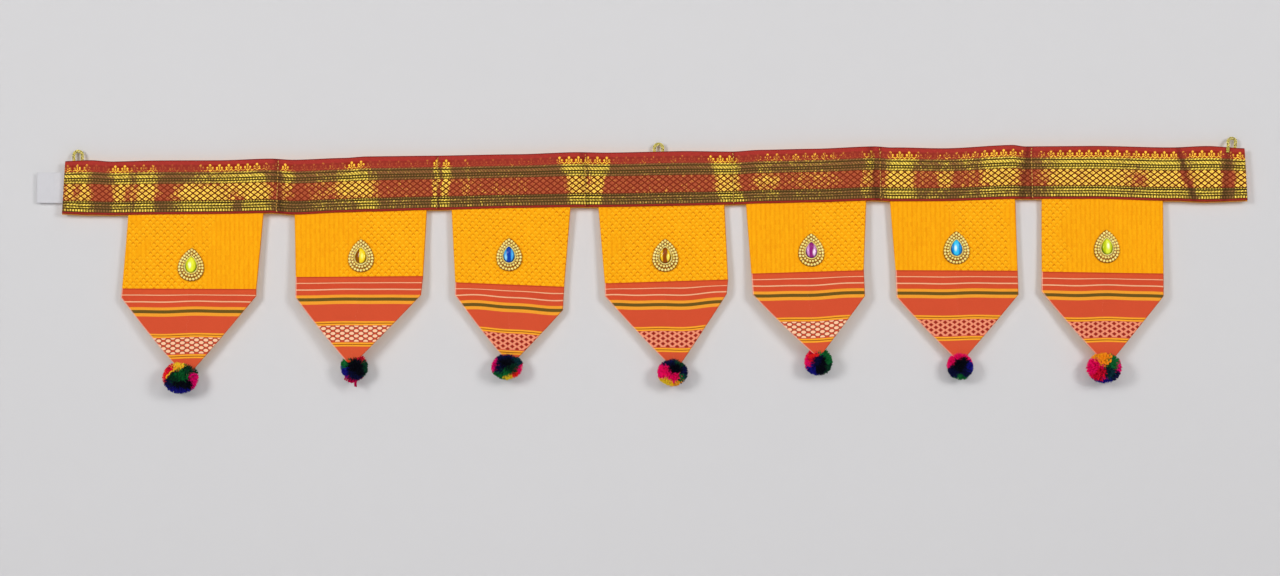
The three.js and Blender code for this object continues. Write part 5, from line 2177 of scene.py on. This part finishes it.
Y = Yarn
FLAPS = (
    Flap(
        1,
        FlapForm(
            top=((-478, -56.6), (-356.1, -57.9)), hem=((-484.3, -123.5), (-363, -125.3)),
            corner=((-485.2, -131.8), (-363.1, -131.7)), tip=(-426.1, -203),
            pompom=(-431.2, -204.1, 31, 27.5), brooch=(-421.7, -102.8, 3.5), fold=(1.2, 74, 0.4),
        ),
        FlapCloth(1, DotStyle.PALE_DOTS, 0.5, (-30, 40)),
        DropStone(
            1, (238, 242, 50), (216, 224, 24), (120, 130, 6), 0.1, (-0.15, -0.1, (255, 255, 200))
        ),
        (
            (0.02, 0.4, 0.85, Y.YELLOW), (-0.85, 0.4, 0.2, Y.RED), (-0.6, 0.5, 0.55, Y.CRIMSON),
            (0.5, 0.5, 0.6, Y.FOREST), (0.2, 0.9, 0.15, Y.GREEN), (-0.3, 0.9, -0.05, Y.FOREST),
            (0.95, 0.4, -0.05, Y.MAGENTA), (-0.6, 0.6, -0.35, Y.NAVY), (0.05, 0.5, -0.85, Y.BLUE),
            (0.4, 0.7, -0.4, Y.BLACK), (0.0, -1.0, 0.1, Y.GREEN), (0.8, 0.0, 0.6, Y.FOREST),
            (0.05, 0.85, -0.4, Y.BLACK), (-0.5, 0.3, -0.8, Y.BLUE),
        ),
        (
            Strand((-0.05, 0.7, 0.55), (-0.75, 0.75, 0.0), (1.02, 1.02), 0.5, 3.0, Y.YELLOW),
            *curls(((-0.2, 0.6, 0.75), (0.05, 0.6, 0.75)), Y.YELLOW),
        ),
    ),
    Flap(
        2,
        FlapForm(
            top=((-328.3, -59.4), (-209.3, -57.1)), hem=((-327.5, -114.9), (-213, -115.4)),
            corner=((-327.7, -133.4), (-214.9, -132.4)), tip=(-277.7, -194.6), tip_shows=True,
            pompom=(-275.6, -196.5, 23.4, 24.8), brooch=(-268.7, -96.5, 0), fold=(0.9, 88, 2.0),
        ),
        FlapCloth(2, DotStyle.PALE_DOTS, 0.25, (24, 36)),
        DropStone(
            2, (140, 78, 0), (252, 218, 24), (140, 88, 0), -0.6, (0.3, -0.1, (255, 252, 120))
        ),
        (
            (0.1, 1.0, 0.1, Y.BLACK), (-0.85, 0.4, -0.35, Y.BLUE), (-0.8, 0.4, 0.35, Y.GREEN),
            (-0.55, 0.2, 1.0, Y.VERMILION), (0.6, 0.2, 0.95, Y.CRIMSON), (0.95, 0.3, 0.1, Y.FOREST),
            (0.0, 0.6, -0.7, Y.NAVY), (-0.45, 0.1, -1.0, Y.WINE), (0.0, -1.0, 0.1, Y.NAVY),
            (0.5, 0.8, -0.2, Y.BLACK), (0.2, 0.7, 0.65, Y.BLACK),
        ),
        (
            *tufts(((0.1, 0.3, -1.0), (0.14, 0.2, -1.0)), (0.85, 1.42), 0.5, Y.WINE),
            *tufts(
                (
                    (-0.05, 0.3, -1.0), (-0.25, 0.3, -1.0), (-0.38, 0.2, -1.0), (-0.5, 0.3, -0.9),
                    (-0.62, 0.2, -0.8), (0.0, 0.4, -1.0), (-0.15, 0.2, -1.0),
                ),
                (0.85, 1.13), 0.5, Y.WINE,
            ),
            *tufts(((0.55, 0.5, 0.7), (0.75, 0.3, 0.75), (0.4, 0.7, 0.6)), (0.85, 1.16), 0.7, Y.CRIMSON),
            *tufts(((-0.4, 0.8, 0.5), (-0.3, 0.9, 0.45)), (0.85, 1.08), 0.6, Y.VERMILION),
        ),
    ),
    Flap(
        3,
        FlapForm(
            top=((-187.1, -56.4), (-79.8, -55.9)), hem=((-184.4, -121.3), (-86.3, -126.4)),
            corner=((-184.6, -132.8), (-87.7, -147.4)), tip=(-135.2, -195.6),
            pompom=(-138.4, -197.5, 28.4, 22), brooch=(-135.4, -96.9, 0), fold=(1.4, 69, 3.6),
        ),
        FlapCloth(3, DotStyle.DARK_SPOTS, 1.0, (-6, 80)),
        DropStone(
            3, (4, 62, 168), (70, 172, 240), (4, 36, 110), 0.0, (-0.5, -0.35, (150, 222, 255))
        ),
        (
            (-0.95, 0.3, 0.1, Y.MAGENTA), (-0.1, 0.3, 0.9, Y.NAVY), (0.0, 0.9, 0.3, Y.BLACK),
            (0.75, 0.4, 0.35, Y.TEAL), (-0.5, 0.8, -0.1, Y.NAVY), (-0.1, 0.7, -0.5, Y.GREEN),
            (0.1, 0.4, -0.85, Y.YELLOW), (0.55, 0.4, -0.7, Y.RED), (0.95, 0.3, -0.25, Y.PINK),
            (0.0, -1.0, 0.1, Y.GREEN), (-0.5, 0.2, -0.8, Y.GREEN), (0.4, 0.8, -0.1, Y.FOREST),
        ),
    ),
    Flap(
        4,
        FlapForm(
            top=((-54.9, -55.1), (58.8, -54.5)), hem=((-49.9, -123.7), (61.2, -121.5)),
            corner=((-49.7, -135.5), (59.8, -134.5)), tip=(12.9, -202),
            pompom=(10.1, -204.3, 27.4, 23.5), brooch=(4.9, -99.2, 0), fold=(1.3, 62, 5.1),
        ),
        FlapCloth(4, DotStyle.DARK_SPOTS, 1.0, (0, 90)),
        DropStone(
            4, (146, 70, 2), (248, 200, 24), (104, 54, 4), 0.0, (0.5, -0.25, (255, 244, 96))
        ),
        (
            (-0.7, 0.6, 0.05, Y.PINK), (0.3, 0.8, 0.35, Y.BLACK), (0.85, 0.4, 0.05, Y.NAVY),
            (0.5, 0.3, 0.8, Y.FOREST), (0.15, 0.7, -0.35, Y.PINK), (0.5, 0.6, -0.5, Y.GREEN),
            (-0.35, 0.4, -0.85, Y.YELLOW), (0.3, 0.4, -0.9, Y.ORANGE), (-0.2, 0.3, 0.9, Y.NAVY),
            (0.0, -1.0, 0.1, Y.MAGENTA), (0.85, 0.2, -0.45, Y.TEAL),
        ),
    ),
    Flap(
        5,
        FlapForm(
            top=((78.1, -55), (186.4, -51.9)), hem=((82, -116.4), (183.1, -114.5)),
            corner=((83, -135.6), (183.7, -137.7)), tip=(140.8, -191.8), tip_shows=True,
            pompom=(141.2, -196.3, 24.7, 24.1), brooch=(136.1, -95.9, 0), fold=(1.0, 81, 1.2),
        ),
        FlapCloth(5, DotStyle.PALE_DOTS, 0.6, (36, 34)),
        DropStone(
            5, (146, 34, 120), (216, 150, 212), (90, 24, 80), 0.0, (0.42, -0.3, (255, 232, 252))
        ),
        (
            (-0.7, 0.5, 0.45, Y.CRIMSON), (-0.85, 0.3, 0.0, Y.PINK), (0.0, 0.9, 0.1, Y.NAVY),
            (0.15, 0.7, -0.5, Y.BLACK), (-0.55, 0.4, -0.65, Y.BLUE), (0.75, 0.5, 0.2, Y.GREEN),
            (0.75, 0.4, -0.4, Y.FOREST), (0.6, 0.5, 0.75, Y.GREEN), (0.0, -1.0, 0.1, Y.NAVY),
            (0.3, 0.9, -0.05, Y.BLACK),
        ),
        (
            *curls(((-0.5, 0.7, 0.5), (-0.3, 0.8, 0.55), (-0.65, 0.6, 0.4)), Y.RED),
            *curls(((0.5, 0.7, 0.5), (0.65, 0.6, 0.3), (0.55, 0.8, 0.0), (0.6, 0.6, 0.7)), Y.GREEN),
        ),
    ),
    Flap(
        6,
        FlapForm(
            top=((207.6, -53.5), (320.7, -51.4)), hem=((211.8, -114.8), (322, -116.5)),
            corner=((212.4, -139.1), (322.3, -138.1)), tip=(268.6, -198),
            pompom=(268.5, -201.7, 22.8, 24.1), brooch=(266.8, -95.3, 0), fold=(1.1, 77, 4.4),
        ),
        FlapCloth(6, DotStyle.DARK_SPOTS, 0.45, (24, 27)),
        DropStone(
            6, (52, 200, 248), (10, 138, 218), (0, 84, 156), -0.1, (-0.2, -0.05, (230, 252, 255))
        ),
        (
            (0.0, 0.4, 0.95, Y.PINK), (-0.85, 0.3, 0.5, Y.PINK), (-0.3, 0.9, 0.1, Y.BLACK),
            (0.7, 0.5, 0.05, Y.BLUE), (0.45, 0.6, -0.5, Y.NAVY), (0.1, 0.4, -0.95, Y.GREEN),
            (-0.6, 0.5, -0.45, Y.NAVY), (0.8, 0.2, 0.6, Y.PINK), (0.0, -1.0, 0.1, Y.BLUE),
            (0.2, 0.8, 0.35, Y.BLACK),
        ),
    ),
    Flap(
        7,
        FlapForm(
            top=((344.2, -52.2), (453.6, -55.1)), hem=((343.5, -117.6), (452.6, -120.5)),
            corner=((342.9, -135.4), (452.3, -140.7)), tip=(400.2, -202),
            pompom=(397.6, -204.4, 30.6, 26.5), brooch=(401.8, -95.6, 0), fold=(1.2, 71, 0.2),
        ),
        FlapCloth(7, DotStyle.DARK_SPOTS, 0.6, (-46, 15)),
        DropStone(
            7, (226, 236, 56), (190, 204, 14), (104, 116, 4), 0.1, (0.1, 0.05, (255, 255, 210))
        ),
        (
            (-0.75, 0.5, 0.1, Y.PINK), (-0.15, 0.5, 0.75, Y.ORANGE), (0.5, 0.6, 0.45, Y.GREEN),
            (0.9, 0.4, -0.05, Y.MAGENTA), (0.25, 0.7, -0.45, Y.TEAL), (0.05, 0.3, -0.95, Y.BLUE),
            (-0.3, 0.6, -0.45, Y.CRIMSON), (0.0, -1.0, 0.1, Y.CRIMSON), (0.6, 0.4, -0.5, Y.NAVY),
        ),
        curls(
            (
                (-0.45, 0.6, 0.8), (-0.3, 0.7, 0.6), (-0.1, 0.6, 0.8), (-0.15, 0.8, 0.35),
                (0.1, 0.6, 0.8), (-0.4, 0.8, 0.4), (0.0, 0.8, 0.5), (-0.25, 0.5, 0.95),
            ),
            Y.ORANGE,
        ),
    ),
)

LOOPS = (
    CordLoop("left", x=-523.1, z=-0.6, lean=-0.4, crossed=False),
    CordLoop("centre", x=0.0, z=0.0, lean=0.2, crossed=False),
    CordLoop("right", x=516.5, z=-0.6, lean=1.6, crossed=True),
)


# Stage, light and camera


@dataclass(frozen=True)
class Softbox:
    """A soft rectangular light: place, size and aim in metres, power in watts."""

    name: str
    place: Triple
    size: Point2
    power: float
    aim: Triple = (0, 0, -0.1)

    def build(self) -> None:
        """Add the light to the scene."""
        lamp = bpy.data.lights.new(self.name, "AREA")
        lamp.shape = "RECTANGLE"
        lamp.size, lamp.size_y = self.size
        lamp.energy = self.power
        made = bpy.data.objects.new(self.name, lamp)
        made.location = self.place
        way = Vector(self.aim) - Vector(self.place)
        made.rotation_euler = way.to_track_quat("-Z", "Y").to_euler()
        bpy.context.scene.collection.objects.link(made)


@dataclass
class Studio:
    """Pale wall and floor, soft light and the camera.

    The room is in mm. The camera's place and view are in metres.
    """

    wall_y: float = 4.7
    floor_z: float = -900.0
    half_width: float = 3000.0
    front_y: float = -3500.0
    wall_top: float = 1800.0
    paint: Colour = (0.585, 0.58, 0.588)
    softboxes: tuple[Softbox, ...] = (
        Softbox("left_box", (-1.5, -2.2, 0.5), (0.7, 0.8), 32),
        Softbox("right_box", (1.5, -2.2, 0.5), (0.7, 0.8), 29.5),
        Softbox("front_box", (0, -2.2, 0.9), (1.2, 0.8), 9.5),
        Softbox("back_box", (0, 2.4, 0.8), (1.6, 1.0), 40),
    )
    sky: float = 0.2
    view_centre: Point2 = (-0.0182, -0.1283)
    distance: float = 2.2
    view_width: float = 1.152
    sensor: float = 36.0
    roll: float = math.atan(0.01117)

    def wall_paint(self) -> Material:
        """Matt pale paint that is clear from behind and casts no shadow."""
        pen = Pen("wall_paint")
        cloudy = (pen.noise(pen.object_place(), 3.0) - 0.5) * 0.02 + 1.0
        colour = pen.shade((*self.paint, 1.0), cloudy)
        matt = pen.node(
            "ShaderNodeBsdfPrincipled", colour, Roughness=0.85, Specular_IOR_Level=0.2
        )
        behind = Field(pen, pen.node("ShaderNodeNewGeometry").outputs["Backfacing"])
        shadow = Field(pen, pen.node("ShaderNodeLightPath").outputs["Is Shadow Ray"])
        clear = pen.node("ShaderNodeBsdfTransparent")
        choice = pen.node("ShaderNodeMixShader", behind.most(shadow), matt, clear)
        pen.node("ShaderNodeOutputMaterial", choice)
        return pen.material

    def build_room(self) -> None:
        """Make the wall, which faces the viewer, and the floor, which faces up."""
        paint = self.wall_paint()
        side, back, low = self.half_width, self.wall_y, self.floor_z
        top, front = self.wall_top, self.front_y
        wall = [(-side, back, low), (side, back, low), (side, back, top), (-side, back, top)]
        floor = [(-side, front, low), (side, front, low), (side, back, low), (-side, back, low)]
        for name, corners in (("pale_wall", wall), ("pale_floor", floor)):
            mesh_object(name, np.array(corners), [[0, 1, 2, 3]], (paint,))

    def build_light(self) -> None:
        """Add two softboxes at the sides, one in front, one behind, and a dim sky."""
        for softbox in self.softboxes:
            softbox.build()
        world = bpy.data.worlds.new("dim_sky")
        world.use_nodes = True
        sky = world.node_tree.nodes["Background"]
        sky.inputs["Color"].default_value = (1, 1, 1, 1)
        sky.inputs["Strength"].default_value = self.sky
        bpy.context.scene.world = world

    def build_camera(self) -> None:
        """Frame the hanging as the photograph does."""
        data = bpy.data.cameras.new("camera")
        data.sensor_width = self.sensor
        data.lens = self.sensor * self.distance / self.view_width
        camera = bpy.data.objects.new("camera", data)
        x, z = self.view_centre
        camera.location = (x, BAND_Y * MM - self.distance, z)
        camera.rotation_euler = (math.pi / 2, self.roll, 0)
        bpy.context.scene.collection.objects.link(camera)
        bpy.context.scene.camera = camera

    def build(self) -> None:
        """Make the room, the light and the camera."""
        self.build_room()
        self.build_light()
        self.build_camera()
        bpy.context.scene.view_settings.view_transform = "Standard"
        bpy.context.scene.view_settings.look = "None"


def main() -> None:
    """Build the studio and every piece of the hanging."""
    logging.basicConfig(level=logging.INFO, format="%(name)s: %(message)s")
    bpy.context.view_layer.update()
    Studio().build()
    lining = PlainCloth("lining_cotton", (238, 166, 66)).make()
    thread = MetallicThread("seam_thread", (250, 204, 104), (200, 136, 50), 0.2).make()
    cotton = PlainCloth("white_thread", (236, 214, 176), 0.3).make()
    cord = MetallicThread("gold_cord", (250, 234, 112), (116, 100, 20), 0.0).make()
    band = Band()
    band.build_front(ZariCloth().make(), lining)
    band.build_lining(lining)
    band.build_stitches(thread, cotton)
    Label().build(SatinTape().make())
    twist = cord_tree(2)
    for loop in LOOPS:
        loop.build(twist, cord)
    kit = Kit(
        backing=PlainCloth("flap_backing", (240, 178, 74)).make(),
        gilt=Metal("gilt_beads", (255, 250, 172), (255, 214, 68), 0.05).make(),
        plate=Metal("gilt_plate", (168, 100, 10), (108, 60, 2), 0.0).make(),
        yarn=YarnPile().make(),
        beads=bead_tree(),
        yarn_ends=yarn_tree(),
        cord=twist,
    )
    for flap in FLAPS:
        flap.build(kit)


if __name__ == "__main__":
    main()
